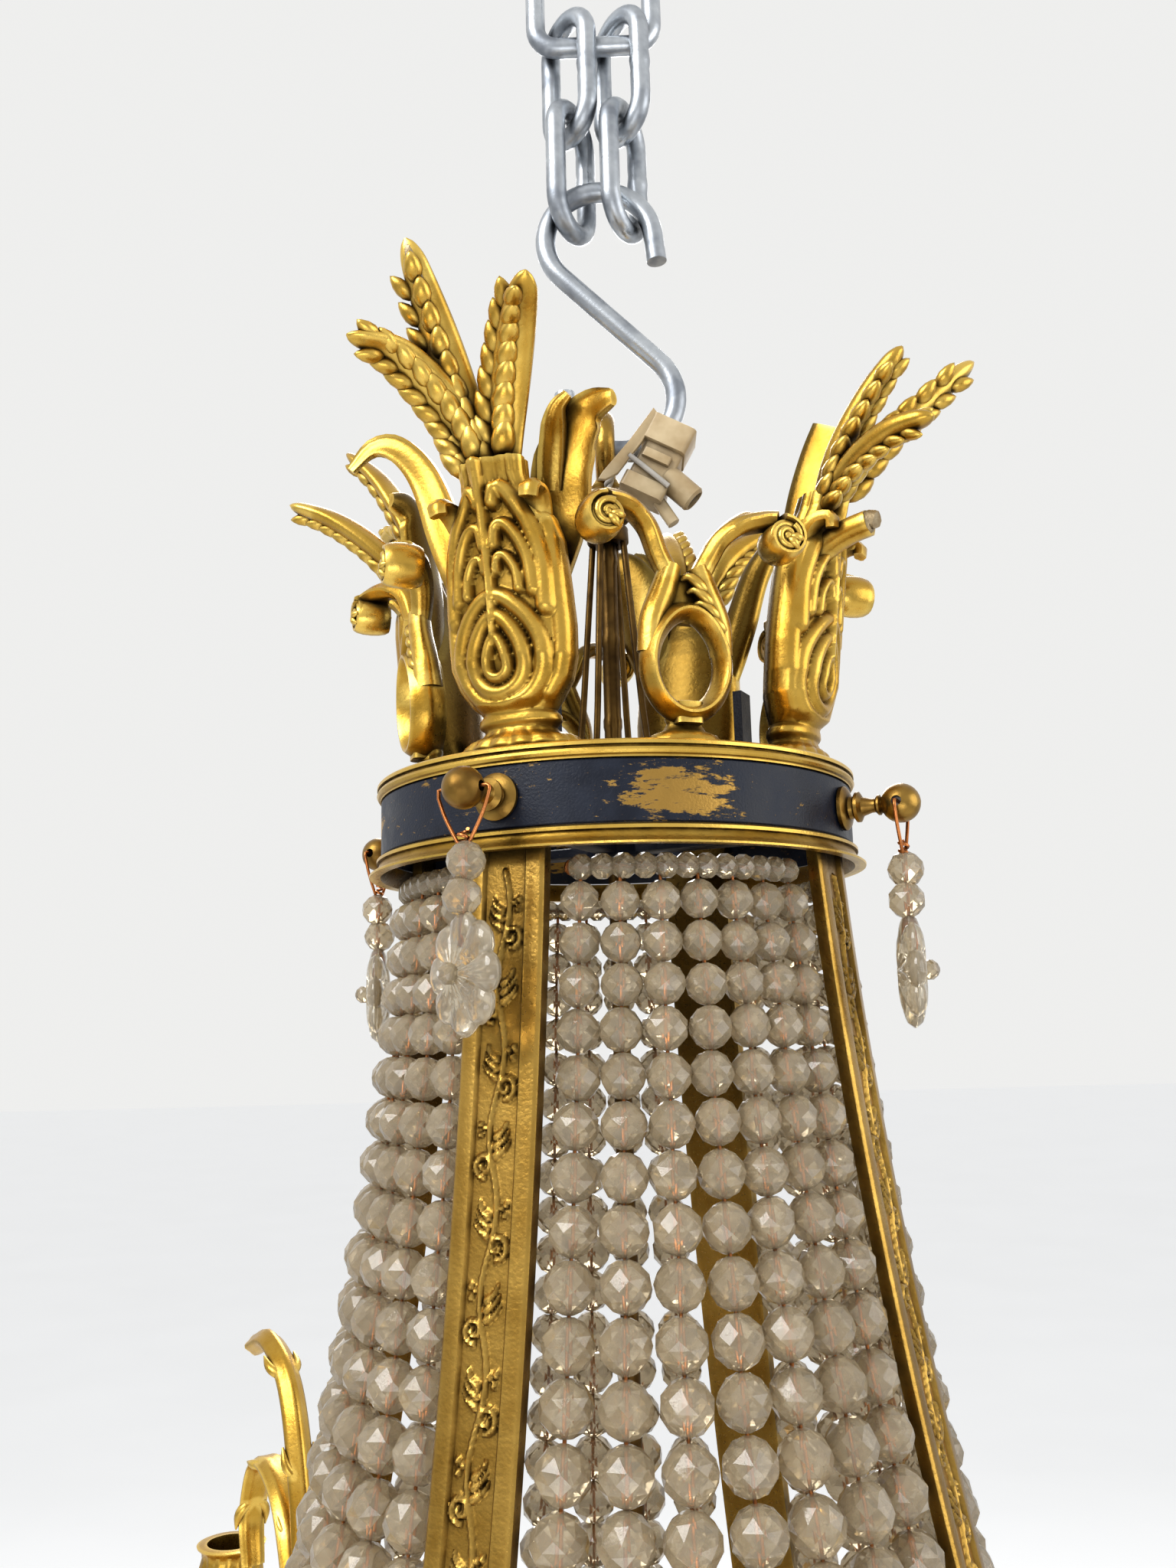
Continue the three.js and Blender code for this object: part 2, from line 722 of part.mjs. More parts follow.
// The top link: a rounded rectangle whose level bottom bar carries both strands.
function masterLink() {
  const corner = TOP_LINK_CORNER;
  const across = TOP_LINK_WIDTH / 2 - LINK_WIRE;
  const high = TOP_LINK_HEIGHT - 2 * LINK_WIRE;
  const path = [];
  [[1, 0, -90], [1, 1, 0], [-1, 1, 90], [-1, 0, 180]].forEach(([side, level, start]) => {
    for (let i = 0; i <= 2; i += 1) {
      const turn = polar(corner, start + 45 * i);
      const up = level ? high - corner : corner;
      path.push(at(side * (across - corner) + turn.x, 0, up + turn.y));
    }
  });
  return sweep(path, () => [LINK_WIRE, LINK_WIRE], 6, new THREE.Vector3(0, 1, 0), true);
}

function hook() {
  const drift = Math.asin((2 * HOOK_LOOP) / HOOK_CENTRES);
  const lean = THREE.MathUtils.radToDeg(drift);
  const route = [];
  const onLoop = (centre, degrees) => {
    const turn = polar(HOOK_LOOP, degrees + HOOK_TILT);
    return at(centre.x + turn.x, 0, centre.y + turn.y);
  };
  const tail = (centre, degrees, sign) => {
    const end = onLoop(centre, degrees);
    const away = polar(HOOK_TAIL, degrees - 90 * sign + HOOK_TILT);
    return end.add(at(away.x, 0, away.y));
  };
  const arc = 9;
  route.push(tail(hookUpperCentre, 0, 1));
  for (let i = 0; i <= arc; i += 1) {
    route.push(onLoop(hookUpperCentre, (i * (180 + lean)) / arc));
  }
  for (let i = arc; i >= 0; i -= 1) {
    route.push(onLoop(hookLowerCentre, 180 + (i * (180 + lean)) / arc));
  }
  route.push(tail(hookLowerCentre, 180, 1));
  return sweep(route, () => [HOOK_WIRE, HOOK_WIRE], 7, new THREE.Vector3(0, 1, 0));
}

function suspensionEye() {
  const steps = 12;
  const path = Array.from({ length: steps }, (_, i) => {
    const turn = polar(EYE_RADIUS, (360 * i) / steps);
    return at(0, turn.x, EYE_HEIGHT + turn.y);
  });
  const ring = sweep(path, () => [EYE_WIRE, EYE_WIRE], 6, new THREE.Vector3(1, 0, 0), true);
  const top = EYE_HEIGHT - EYE_RADIUS + 1;
  const wide = SOCKET_RADIUS;
  const socket = turned([
    [0, top], [wide * 0.5, top], [wide * 0.75, top - 4], [wide, top - 7], [wide, socketFoot], [0, socketFoot],
  ], 10);
  return join([ring, socket]);
}

function centralStem() {
  return turned([
    [0, sacBottom + 2], [STEM_RADIUS, sacBottom + 2],
    [STEM_RADIUS, socketFoot - GAP], [0, socketFoot - GAP],
  ], 10);
}

// A plain disc on the Z axis between two heights.
function disc(radius, low, high) {
  return turned([[0, low], [radius, low], [radius, high], [0, high]], 8);
}

// A flat bar from the axis outwards, between two heights.
function spoke(reach, low, high) {
  const bar = new THREE.BoxGeometry(CROSS_BAR_WIDTH, reach, high - low);
  return bar.translate(0, -reach / 2, (low + high) / 2);
}

// The iron cross that ties the staves, with an upright behind each palmette and a cage of thin rods.
function crownCross() {
  const low = crossTop - CROSS_BAR_THICKNESS;
  const reach = staveRadius(0) - STAVE_THICKNESS - 3 * GAP;
  const collar = socketFoot - 2;
  const rise = UPRIGHT_HEIGHT - low;
  const parts = [
    disc(HUB_RADIUS, low - 1, crossTop + 1),
    disc(COLLAR_RADIUS, collar - COLLAR_HEIGHT, collar),
  ];
  for (let i = 0; i < STAVE_COUNT; i += 1) {
    const upright = new THREE.BoxGeometry(CROSS_BAR_WIDTH, 2.5, rise);
    upright.translate(0, -UPRIGHT_RADIUS, low + rise / 2);
    const stay = rod(
      at(0, CAGE_FOOT_RADIUS, low + OVERLAP),
      at(0, CAGE_TOP_RADIUS, collar - OVERLAP),
      CAGE_ROD_RADIUS,
      6,
      new THREE.Vector3(1, 0, 0),
    );
    const turn = (2 * Math.PI * i) / STAVE_COUNT;
    parts.push(...[spoke(reach, low, crossTop), upright, stay].map((part) => part.rotateZ(turn)));
  }
  return cut(join(parts), disc(STEM_RADIUS + GAP, low - 2, collar + 1));
}

function lowerCross() {
  const low = -LOWER_RING_DROP - CROSS_BAR_THICKNESS / 2;
  const high = low + CROSS_BAR_THICKNESS;
  const reach = lowerBandRadius - BAND_WALL - 3 * GAP;
  const parts = [disc(HUB_RADIUS, low - 1, high + 1)];
  for (let i = 0; i < STAVE_COUNT; i += 1) {
    parts.push(spoke(reach, low, high).rotateZ((2 * Math.PI * (i + 0.5)) / STAVE_COUNT));
  }
  return cut(join(parts), disc(STEM_RADIUS + GAP, low - 2, high + 2));
}

// Candle arms and the lower sac

// Routes of an arm's pieces: outward from its foot and up from the lower ring's middle.
const ARM_SPINE = [
  [2, 0], [12, -6], [34, -28], [72, -34], [106, -8], [116, 40], [130, 76], [152, 90], [170, 86],
];
const ARM_LEAF = [[108, 2], [130, 36], [156, 44], [170, 22], [168, 2]];
const ARM_BRANCH = [[62, -36], [126, -54], [166, -56]];

// A candle arm: a plate on the ring, a scroll that rises and rolls over, and a branch to the cup.
function candleArm() {
  const start = lowerBandRadius + 2 * GAP;
  const middle = -LOWER_RING_DROP;
  const flat = new THREE.Vector3(1, 0, 0);
  const onArm = ([outward, up]) => at(0, start + outward, middle + up);
  const plate = stack([[middle - 6, 8, 2, start + 2], [middle + 6, 8, 2, start + 2]], 6);
  const spine = sweep(
    smooth(ARM_SPINE.map(onArm), 9),
    (share) => [ARM_WIRE * (1.2 - 0.3 * share), ARM_WIRE * (0.9 - 0.1 * share)],
    5,
    flat,
  );
  const leaf = sweep(smooth(ARM_LEAF.map(onArm), 4), (share) => [9 - 4 * share, 3.6 - 1.6 * share], 5, flat);
  const branch = sweep([
    ...smooth([...ARM_BRANCH.map(onArm), at(0, ARM_REACH, cupFoot - 8)], 4),
    at(0, ARM_REACH, cupFoot - 4),
    at(0, ARM_REACH, cupFoot - GAP),
  ], (share) => [ARM_WIRE * (1 - 0.2 * share), ARM_WIRE * (1 - 0.2 * share)], 5, flat);
  return join([plate, spine, leaf, branch]);
}

// A vase-shaped candle cup with its drip pan, open at the top.
function candleCup() {
  const low = cupFoot;
  const high = low + CUP_HEIGHT;
  const pan = low + 0.26 * CUP_HEIGHT;
  const cup = turned([
    [0, low],
    [5, low],
    [5, low + 4],
    [PAN_RADIUS, pan],
    [PAN_RADIUS, pan + PAN_THICKNESS],
    [CUP_RADIUS * 0.7, pan + PAN_THICKNESS * 0.4],
    [CUP_RADIUS, low + 0.6 * CUP_HEIGHT],
    [CUP_RADIUS * 1.1, high],
    [CANDLE_BORE, high],
    [CANDLE_BORE, high - CANDLE_DEPTH],
    [0, high - CANDLE_DEPTH],
  ], 10);
  cup.translate(...at(0, ARM_REACH, 0).toArray());
  return cup;
}

// The gathered sac under the lower ring: strings of beads that draw in to the finial, each bead
// a raised point between four valley points.
function beadSac() {
  const outer = lowerBandRadius - BAND_WALL - SAC_INSET;
  const closing = 90 - THREE.MathUtils.radToDeg(Math.asin(SAC_MOUTH / outer));
  const [strings, rows] = [SAC_STRINGS, SAC_ROWS];
  const onSac = (string, row, bulge) => {
    const turn = polar(1, (closing * row) / rows);
    const spread = polar((outer + bulge) * turn.x, (360 * string) / strings);
    return new THREE.Vector3(spread.x, spread.y, sacTop - (SAC_DEPTH + 0.4 * bulge) * turn.y);
  };
  const points = [];
  const faces = [];
  for (let row = 0; row <= rows; row += 1) {
    for (let k = 0; k < strings; k += 1) points.push(onSac(k, row, 0));
  }
  for (let row = 0; row < rows; row += 1) {
    for (let k = 0; k < strings; k += 1) {
      const next = (k + 1) % strings;
      const [a, b] = [row * strings + k, row * strings + next];
      const [c, d] = [(row + 1) * strings + next, (row + 1) * strings + k];
      const peak = points.push(onSac(k + 0.5, row + 0.5, SAC_BULGE)) - 1;
      faces.push(a, peak, b, b, peak, c, c, peak, d, d, peak, a);
    }
  }
  const foot = rows * strings;
  capTriangles(points.slice(0, strings)).forEach(([a, b, c]) => faces.push(a, b, c));
  capTriangles(points.slice(foot, foot + strings)).forEach(([a, b, c]) => {
    faces.push(foot + a, foot + c, foot + b);
  });
  const body = new THREE.BufferGeometry().setFromPoints(points);
  body.setIndex(faces);
  return cut(facingOut(body), sacHollow(outer - SAC_WALL, closing));
}

// The room inside the sac, open at the top and at the mouth above the finial.
function sacHollow(radius, closing) {
  const [above, below] = [sacTop + 1, sacBottom - 5];
  const steps = 3;
  const wall = Array.from({ length: steps + 1 }, (_, i) => {
    const turn = polar(1, (closing * i) / steps);
    return [radius * turn.x, sacTop - (SAC_DEPTH - SAC_WALL) * turn.y];
  });
  const mouth = SAC_MOUTH * 0.6;
  return turned([[0, above], [radius, above], ...wall, [mouth, below], [0, below]], 14);
}

function finial() {
  const high = sacBottom - 3;
  const wide = FINIAL_RADIUS;
  return turned([
    [0, high - FINIAL_LENGTH],
    [wide * 0.23, high - FINIAL_LENGTH * 0.83],
    [wide * 0.64, high - FINIAL_LENGTH * 0.7],
    [wide * 0.77, high - FINIAL_LENGTH * 0.5],
    [wide * 0.45, high - FINIAL_LENGTH * 0.3],
    [wide, high - FINIAL_LENGTH * 0.125],
    [wide * 0.73, high],
    [0, high],
  ], 10);
}

// Wiring

function terminalBlock() {
  const body = new THREE.BoxGeometry(BLOCK_SIZE.x, BLOCK_SIZE.y, BLOCK_SIZE.z);
  const turret = turned([
    [0, 0],
    [TURRET_RADIUS, 0],
    [TURRET_RADIUS, TURRET_LENGTH * 0.86],
    [TURRET_RADIUS * 0.8, TURRET_LENGTH],
    [0, TURRET_LENGTH],
  ], 10);
  turret.rotateY(Math.PI / 2);
  turret.translate(BLOCK_SIZE.x / 2 - 2, -1, -2);
  const tab = new THREE.BoxGeometry(5, 3, 9);
  tab.translate(1, 2, -BLOCK_SIZE.z / 2 - 3);
  const made = join([body, turret, tab]);
  made.rotateY(THREE.MathUtils.degToRad(BLOCK_TURN));
  made.translate(BLOCK_OFFSET.x, BLOCK_OFFSET.y, EYE_HEIGHT + BLOCK_OFFSET.z);
  return made;
}

// The lead's route, from beside the eye's socket up into the back of the block, counted from the eye.
const LEAD_ROUTE = [
  [0, -7.4, -18], [0, -10, -18.1], [0, -15, -17.9], [1.4, -18, -15.3], [2.9, -19, -10.7], [4.55, -19, -7.65],
];

function lead() {
  const route = LEAD_ROUTE.map(([x, y, z]) => new THREE.Vector3(x, y, EYE_HEIGHT + z));
  return sweep(route, () => [LEAD_RADIUS, LEAD_RADIUS], 5, new THREE.Vector3(0.9, 0, -0.45));
}

// Assembly

const SIDES = ['front', 'right', 'back', 'left'];
const BROKEN_SIDE = 'right';
const chandelier = new THREE.Group();
chandelier.position.z = -suspension;

function addCrown(group) {
  group.add(
    mesh('crown_band', crownBand(), 'navy'),
    mesh('crown_border_top', crownTopBorder(), 'gilt'),
    mesh('crown_border_bottom', crownBottomBorder(), 'gilt'),
    mesh('crown_cross', crownCross(), 'navy'),
    mesh('lower_band', lowerBand(), 'navy'),
    mesh('lower_border_top', lowerBorder(1), 'gilt'),
    mesh('lower_border_bottom', lowerBorder(-1), 'gilt'),
    mesh('lower_cross', lowerCross(), 'navy'),
  );
}

function addOrnaments(group) {
  const [whole, broken, loop] = [palmette(false), palmette(true), scrollLoop()];
  const [bar, curtain, knob] = [stave(), beadCurtain(), stud()];
  SIDES.forEach((side, i) => {
    const azimuth = (360 * i) / STAVE_COUNT;
    const between = azimuth + 180 / STAVE_COUNT;
    const casting = side === BROKEN_SIDE ? broken : whole;
    const ornament = mesh(`palmette_${side}`, casting, 'gilt');
    ornament.position.copy(at(0, ORNAMENT_RADIUS, ringTop + GAP));
    const scroll = mesh(`scroll_loop_${side}`, loop, 'gilt');
    scroll.position.copy(at(0, ORNAMENT_RADIUS, ringTop + GAP));
    group.add(
      station(
        azimuth,
        ornament,
        mesh(`stave_${side}`, bar, 'gilt'),
        mesh(`stud_${side}`, knob, 'gilt'),
        mesh(`pendant_${side}`, pendant(PENDANT_TURNS[i]), 'glass'),
      ),
      station(between, scroll, mesh(`bead_curtain_${side}`, curtain, 'glass')),
    );
  });
}

function addArms(group) {
  const [arm, cup] = [candleArm(), candleCup()];
  for (let i = 0; i < ARM_COUNT; i += 1) {
    group.add(station(
      (360 * i) / ARM_COUNT,
      mesh(`arm_${i + 1}`, arm, 'gilt'),
      mesh(`candle_cup_${i + 1}`, cup, 'gilt'),
    ));
  }
  group.add(mesh('bead_sac', beadSac(), 'glass'), mesh('finial', finial(), 'gilt'));
}

function addSuspension(group) {
  const hung = station(
    HANG_AZIMUTH,
    mesh('s_hook', hook(), 'zinc'),
    mesh('suspension_eye', suspensionEye(), 'gilt'),
    mesh('terminal_block', terminalBlock(), 'ivory'),
    mesh('lead', lead(), 'wire'),
  );
  const topLink = mesh('top_link', masterLink(), 'zinc');
  topLink.position.z = topLinkBottom;
  hung.add(topLink);
  const link = chainLink(LINK_LENGTH, LINK_WIDTH, LINK_WIRE);
  [['left', -1], ['right', 1]].forEach(([name, side]) => {
    LINK_LEVELS.forEach(([level, z, turn]) => {
      const copy = mesh(`chain_link_${level}_${name}`, link, 'zinc');
      copy.position.set(hookUpperCentre.x + side * LINK_SPREAD, 0, z);
      copy.rotation.z = THREE.MathUtils.degToRad(turn);
      hung.add(copy);
    });
  });
  group.add(hung, mesh('central_stem', centralStem(), 'gilt'));
}

addCrown(chandelier);
addOrnaments(chandelier);
addArms(chandelier);
addSuspension(chandelier);

export default chandelier;
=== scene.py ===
import logging
import math
from dataclasses import dataclass, field
from enum import Enum
from typing import Callable, Iterable, Sequence

import bpy
import numpy as np
from mathutils import Matrix, Vector


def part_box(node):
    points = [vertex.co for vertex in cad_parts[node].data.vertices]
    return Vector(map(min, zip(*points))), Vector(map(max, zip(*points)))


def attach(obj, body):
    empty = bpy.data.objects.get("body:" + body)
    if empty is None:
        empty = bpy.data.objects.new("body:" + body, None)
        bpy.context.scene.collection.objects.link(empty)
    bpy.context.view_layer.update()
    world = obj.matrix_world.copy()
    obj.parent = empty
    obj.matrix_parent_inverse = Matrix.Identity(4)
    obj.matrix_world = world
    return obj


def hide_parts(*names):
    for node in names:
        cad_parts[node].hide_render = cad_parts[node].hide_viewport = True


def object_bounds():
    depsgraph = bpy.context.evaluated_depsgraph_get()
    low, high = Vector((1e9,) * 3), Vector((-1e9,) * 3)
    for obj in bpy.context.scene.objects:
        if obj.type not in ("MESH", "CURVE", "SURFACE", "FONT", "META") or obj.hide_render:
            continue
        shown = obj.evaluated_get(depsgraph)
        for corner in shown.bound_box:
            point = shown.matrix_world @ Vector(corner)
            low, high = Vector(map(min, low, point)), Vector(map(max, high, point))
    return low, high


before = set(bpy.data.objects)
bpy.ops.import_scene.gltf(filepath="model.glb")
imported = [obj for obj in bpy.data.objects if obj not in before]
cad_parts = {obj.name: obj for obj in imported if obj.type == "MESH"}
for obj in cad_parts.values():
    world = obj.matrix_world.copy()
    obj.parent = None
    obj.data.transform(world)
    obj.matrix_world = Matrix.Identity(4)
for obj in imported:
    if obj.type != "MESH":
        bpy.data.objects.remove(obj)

LOG = logging.getLogger("chandelier")
MM = 0.001
CAD_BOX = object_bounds()
BAND_LOW, BAND_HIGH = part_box("crown_band")
RING_MID = (BAND_LOW.z + BAND_HIGH.z) / 2
HANG_AZIMUTH = 25.0
SIDE_NAMES = ("front", "right", "back", "left")
Route = Sequence[tuple[float, ...]]
Point = tuple[float, float, float]
Colour = tuple[float, float, float, float]
BoxRow = tuple[Point, float, Point]
LeafRow = tuple[Route, tuple[float, ...], float, float]
ALONG = (1, 0, 0)
OUTWARD = (0, -1, 0)
UPWARD = (0, 0, 1)
NO_LENGTH = 0.01
CURTAIN_SEED = 20
# A painted band's section: out from its face, 0 for its foot or 1 for its top, and the lift from there
BAND_PROFILE: Route = ((-2, 0, 0), (-0.2, 0, 0), (0, 0, 0.3), (0, 1, -0.3), (-0.2, 1, 0), (-2, 1, 0))


def srgb(red: float, green: float, blue: float) -> Colour:
    """A colour as seen, turned into the linear colour that shaders take."""
    linear = [c / 12.92 if c <= 0.04045 else ((c + 0.055) / 1.055) ** 2.4 for c in (red, green, blue)]
    return (*linear, 1.0)


def levels_of(node: str) -> tuple[float, float]:
    """The foot and the top of a CAD node in millimetres above the painted band's middle."""
    low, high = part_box(node)
    return (low.z - RING_MID) / MM, (high.z - RING_MID) / MM


def at(along: float, outward: float, up: float) -> Point:
    """A point of an ornament: along the ring, outwards and up."""
    return (along, -outward, up)


def unit(vectors: np.ndarray) -> np.ndarray:
    """The vectors at a length of one."""
    return vectors / np.linalg.norm(vectors, axis=-1, keepdims=True)


# Shapes: points in millimetres and the faces that join them


@dataclass
class Shape:
    """A set of points in millimetres, and the faces that join them."""

    points: np.ndarray = field(default_factory=lambda: np.zeros((0, 3)))
    faces: list[tuple[int, ...]] = field(default_factory=list)

    def shifted(self, x: float, y: float, z: float) -> "Shape":
        """A copy moved by so many millimetres."""
        return Shape(self.points + np.array([x, y, z]), self.faces)

    def scaled(self, x: float, y: float, z: float) -> "Shape":
        """A copy scaled along each axis, with its faces kept facing out."""
        faces = [f[::-1] for f in self.faces] if x * y * z < 0 else self.faces
        return Shape(self.points * np.array([x, y, z]), faces)

    def turned(self, axis: str, degrees: float) -> "Shape":
        """A copy turned about one of the axes X, Y or Z."""
        turn = np.array(Matrix.Rotation(math.radians(degrees), 3, axis))
        return Shape(self.points @ turn.T, self.faces)

    def aimed(self, direction: Iterable[float], spin: float = 0.0) -> "Shape":
        """A copy whose Z axis points along a direction.

        Args:
            direction: Where the copy's Z axis goes.
            spin: Degrees turned about Z first.

        Returns:
            The turned shape.
        """
        aim = Vector(direction).to_track_quat("Z", "Y").to_matrix()
        turn = np.array(aim @ Matrix.Rotation(math.radians(spin), 3, "Z"))
        return Shape(self.points @ turn.T, self.faces)


def gather(shapes: Iterable[Shape]) -> Shape:
    """Several shapes as one.

    Args:
        shapes: The shapes.

    Returns:
        One shape with all their points and faces.
    """
    points, faces, start = [], [], 0
    for shape in shapes:
        points.append(shape.points)
        faces.extend(tuple(i + start for i in f) for f in shape.faces)
        start += len(shape.points)
    return Shape(np.vstack(points), faces)


def facing_out(shape: Shape) -> Shape:
    """Turns a closed shape's faces outwards.

    Args:
        shape: The closed shape.

    Returns:
        The same shape, or one with all its faces turned over.
    """
    total = 0.0
    for size in {len(f) for f in shape.faces}:
        corners = shape.points[np.array([f for f in shape.faces if len(f) == size])]
        for i in range(1, size - 1):
            total += float(np.sum(corners[:, 0] * np.cross(corners[:, i], corners[:, i + 1])))
    return shape if total > 0 else Shape(shape.points, [f[::-1] for f in shape.faces])


def skin(rings: np.ndarray, looped: bool = False, closed: bool = True) -> Shape:
    """A surface through rings of equally many points.

    Args:
        rings: Points as rings by sides by three.
        looped: Whether the last ring joins the first.
        closed: Whether each ring is a closed line and the ends are capped.

    Returns:
        The surface, facing out where it is closed.
    """
    count, sides = rings.shape[:2]
    faces = []
    for i in range(count if looped else count - 1):
        a, b = i * sides, ((i + 1) % count) * sides
        for j in range(sides if closed else sides - 1):
            k = (j + 1) % sides
            faces.append((a + j, a + k, b + k, b + j))
    if closed and not looped:
        faces.append(tuple(range(sides))[::-1])
        faces.append(tuple(range((count - 1) * sides, count * sides)))
    shape = Shape(rings.reshape(-1, 3), faces)
    return facing_out(shape) if closed else shape


def smooth_route(points: Route, count: int) -> np.ndarray:
    """A smooth line through the given points.

    Args:
        points: The points that it goes through.
        count: How many points it gets.

    Returns:
        Evenly spaced points on the line.
    """
    p = np.array(points, float)
    p = np.vstack([2 * p[0] - p[1], p, 2 * p[-1] - p[-2]])
    line = []
    for i in range(1, len(p) - 2):
        for t in np.linspace(0, 1, 12, endpoint=False):
            line.append(0.5 * (
                2 * p[i] + (p[i + 1] - p[i - 1]) * t
                + (2 * p[i - 1] - 5 * p[i] + 4 * p[i + 1] - p[i + 2]) * t ** 2
                + (3 * p[i] - p[i - 1] - 3 * p[i + 1] + p[i + 2]) * t ** 3
            ))
    line = np.array([*line, p[-2]])
    along = np.r_[0, np.cumsum(np.linalg.norm(np.diff(line, axis=0), axis=1))]
    wanted = np.linspace(0, along[-1], count)
    return np.column_stack([np.interp(wanted, along, line[:, k]) for k in range(line.shape[1])])


def bend(points: Route, count: int, side: int = 1) -> np.ndarray:
    """A smooth line through places of an ornament.

    Args:
        points: Rows of along, outward and up.
        count: How many points it gets.
        side: -1 for its mirror image.

    Returns:
        Evenly spaced points on the line.
    """
    return smooth_route([at(side * u, n, z) for u, n, z in points], count)


def tube(
    route: np.ndarray,
    size: Callable[[float], tuple[float, float]] | float,
    sides: int = 12,
    across: Sequence[float] = (0, 1, 0),
    looped: bool = False,
    section: Callable[[np.ndarray], np.ndarray] | None = None,
) -> Shape:
    """An oval section swept along a route.

    Args:
        route: Points in millimetres.
        size: A radius, or half width along `across` and half depth at each share of the route.
        sides: Points around the section.
        across: The direction that the section's width keeps to.
        looped: Whether the route is a ring.
        section: A factor on the radius at each angle, for flutes and edges.

    Returns:
        The closed tube.
    """
    route = np.asarray(route, float)
    count = len(route)
    if looped:
        along = np.roll(route, -1, 0) - np.roll(route, 1, 0)
    else:
        along = np.gradient(route, axis=0)
    along = unit(along)
    deep = unit(np.cross(along, np.array(across, float)))
    wide = np.cross(deep, along)
    angles = 2 * np.pi * (np.arange(sides) + 0.5) / sides
    factor = section(angles) if section else np.ones(sides)
    rings = np.zeros((count, sides, 3))
    for i in range(count):
        half = (size, size) if isinstance(size, (int, float)) else size(i / (count - 1))
        rings[i] = (
            route[i]
            + np.outer(half[0] * np.cos(angles) * factor, wide[i])
            + np.outer(half[1] * np.sin(angles) * factor, deep[i])
        )
    return skin(rings, looped)


def tapered(start: tuple[float, float], end: tuple[float, float]) -> Callable[[float], tuple[float, float]]:
    """A tube's half width and depth that change evenly from its start to its end.

    Args:
        start: Both at the start.
        end: Both at the end.

    Returns:
        Both at each share of the route.
    """
    return lambda share: (start[0] + (end[0] - start[0]) * share, start[1] + (end[1] - start[1]) * share)


def spindle(thick: float, rest: float, span: float = 0.7) -> Callable[[float], tuple[float, float]]:
    """A round tube's radius that swells in its middle.

    Args:
        thick: How much it swells.
        rest: What is left where it doesn't.
        span: How much of a full swell and fall its length takes.

    Returns:
        The radius, twice, at each share of the route.
    """
    return lambda share: (thick * math.sin(math.pi * (0.2 + span * share)) + rest,) * 2


def fluted(waves: int, depth: float) -> Callable[[np.ndarray], np.ndarray]:
    """A tube's section with so many flutes of a depth that is a share of its radius."""
    return lambda angle: 1 + depth * np.cos(waves * angle)


def bevelled(depth: float) -> Callable[[np.ndarray], np.ndarray]:
    """A tube's section with four edges that stand out by a share of its radius."""
    return lambda angle: 1 + depth * np.abs(np.cos(2 * angle)) ** 3


def squared(angle: np.ndarray) -> np.ndarray:
    """A tube's section that makes it a flat bar."""
    return 0.97 / np.maximum(np.abs(np.cos(angle)), np.abs(np.sin(angle)))


def raised(profile: Route, level: float) -> list[tuple[float, float]]:
    """A turned profile, moved up to a level."""
    return [(radius, level + z) for radius, z in profile]


def between(rows: Route, radius: float, node: str, flipped: bool = False) -> list[tuple[float, float]]:
    """A turned profile that keeps to a CAD node's foot and top.

    Args:
        rows: Out from the radius, 0 for the foot or 1 for the top, and the lift from there.
        radius: The radius that the rows count from.
        node: The node.
        flipped: Whether the profile is turned upside down.

    Returns:
        Radius and height pairs.
    """
    foot, top = levels_of(node)
    sign = 1
    if flipped:
        foot, top, sign = top, foot, -1
    return [(radius + out, foot + level * (top - foot) + sign * lift) for out, level, lift in rows]


def rounded_box(size: Point, radius: float) -> Shape:
    """A box with rounded edges.

    Args:
        size: Its full size along, outward and up.
        radius: Its edges' radius.

    Returns:
        The box, about its middle.
    """
    levels = ((-0.5, -0.12), (-0.47, 0.0), (0.47, 0.0), (0.5, -0.12))
    half_x, half_y = size[0] / 2 - radius, size[1] / 2 - radius
    rings = []
    for level, grow in levels:
        reach, ring = radius + grow * 4, []
        for sx, sy, start in ((1, 1, 0), (-1, 1, 90), (-1, -1, 180), (1, -1, 270)):
            for k in range(5):
                turn = math.radians(start + 22.5 * k)
                x, y = sx * half_x + reach * math.cos(turn), sy * half_y + reach * math.sin(turn)
                ring.append((x, y, level * size[2]))
        rings.append(ring)
    return skin(np.array(rings))


def lathe(
    profile: Route,
    facets: int = 48,
    ripple: Callable[[np.ndarray, float], np.ndarray] | None = None,
) -> Shape:
    """A body turned about Z from a closed profile, or from one that starts and ends on the axis.

    Args:
        profile: Radius and height pairs in millimetres.
        facets: Points around.
        ripple: A factor on the radius at each angle and share of the profile.

    Returns:
        The closed body.
    """
    angles = 2 * np.pi * np.arange(facets) / facets
    p = np.array(profile, float)
    on_axis = p[0, 0] == 0
    inner = p[1:-1] if on_axis else p
    rings = np.zeros((len(inner), facets, 3))
    for i, (radius, height) in enumerate(inner):
        factor = ripple(angles, i / (len(inner) - 1)) if ripple else 1
        rings[i, :, 0] = radius * np.cos(angles) * factor
        rings[i, :, 1] = radius * np.sin(angles) * factor
        rings[i, :, 2] = height
    if not on_axis:
        return skin(rings, looped=True)
    body = skin(rings, closed=True)
    caps = [f for f in body.faces if len(f) == facets]
    faces = [f for f in body.faces if len(f) != facets]
    points = np.vstack([body.points, [0, 0, p[0, 1]], [0, 0, p[-1, 1]]])
    for cap in caps:
        apex = len(points) - (2 if min(cap) == 0 else 1)
        faces.extend((cap[i], cap[(i + 1) % facets], apex) for i in range(facets))
    return facing_out(Shape(points, faces))


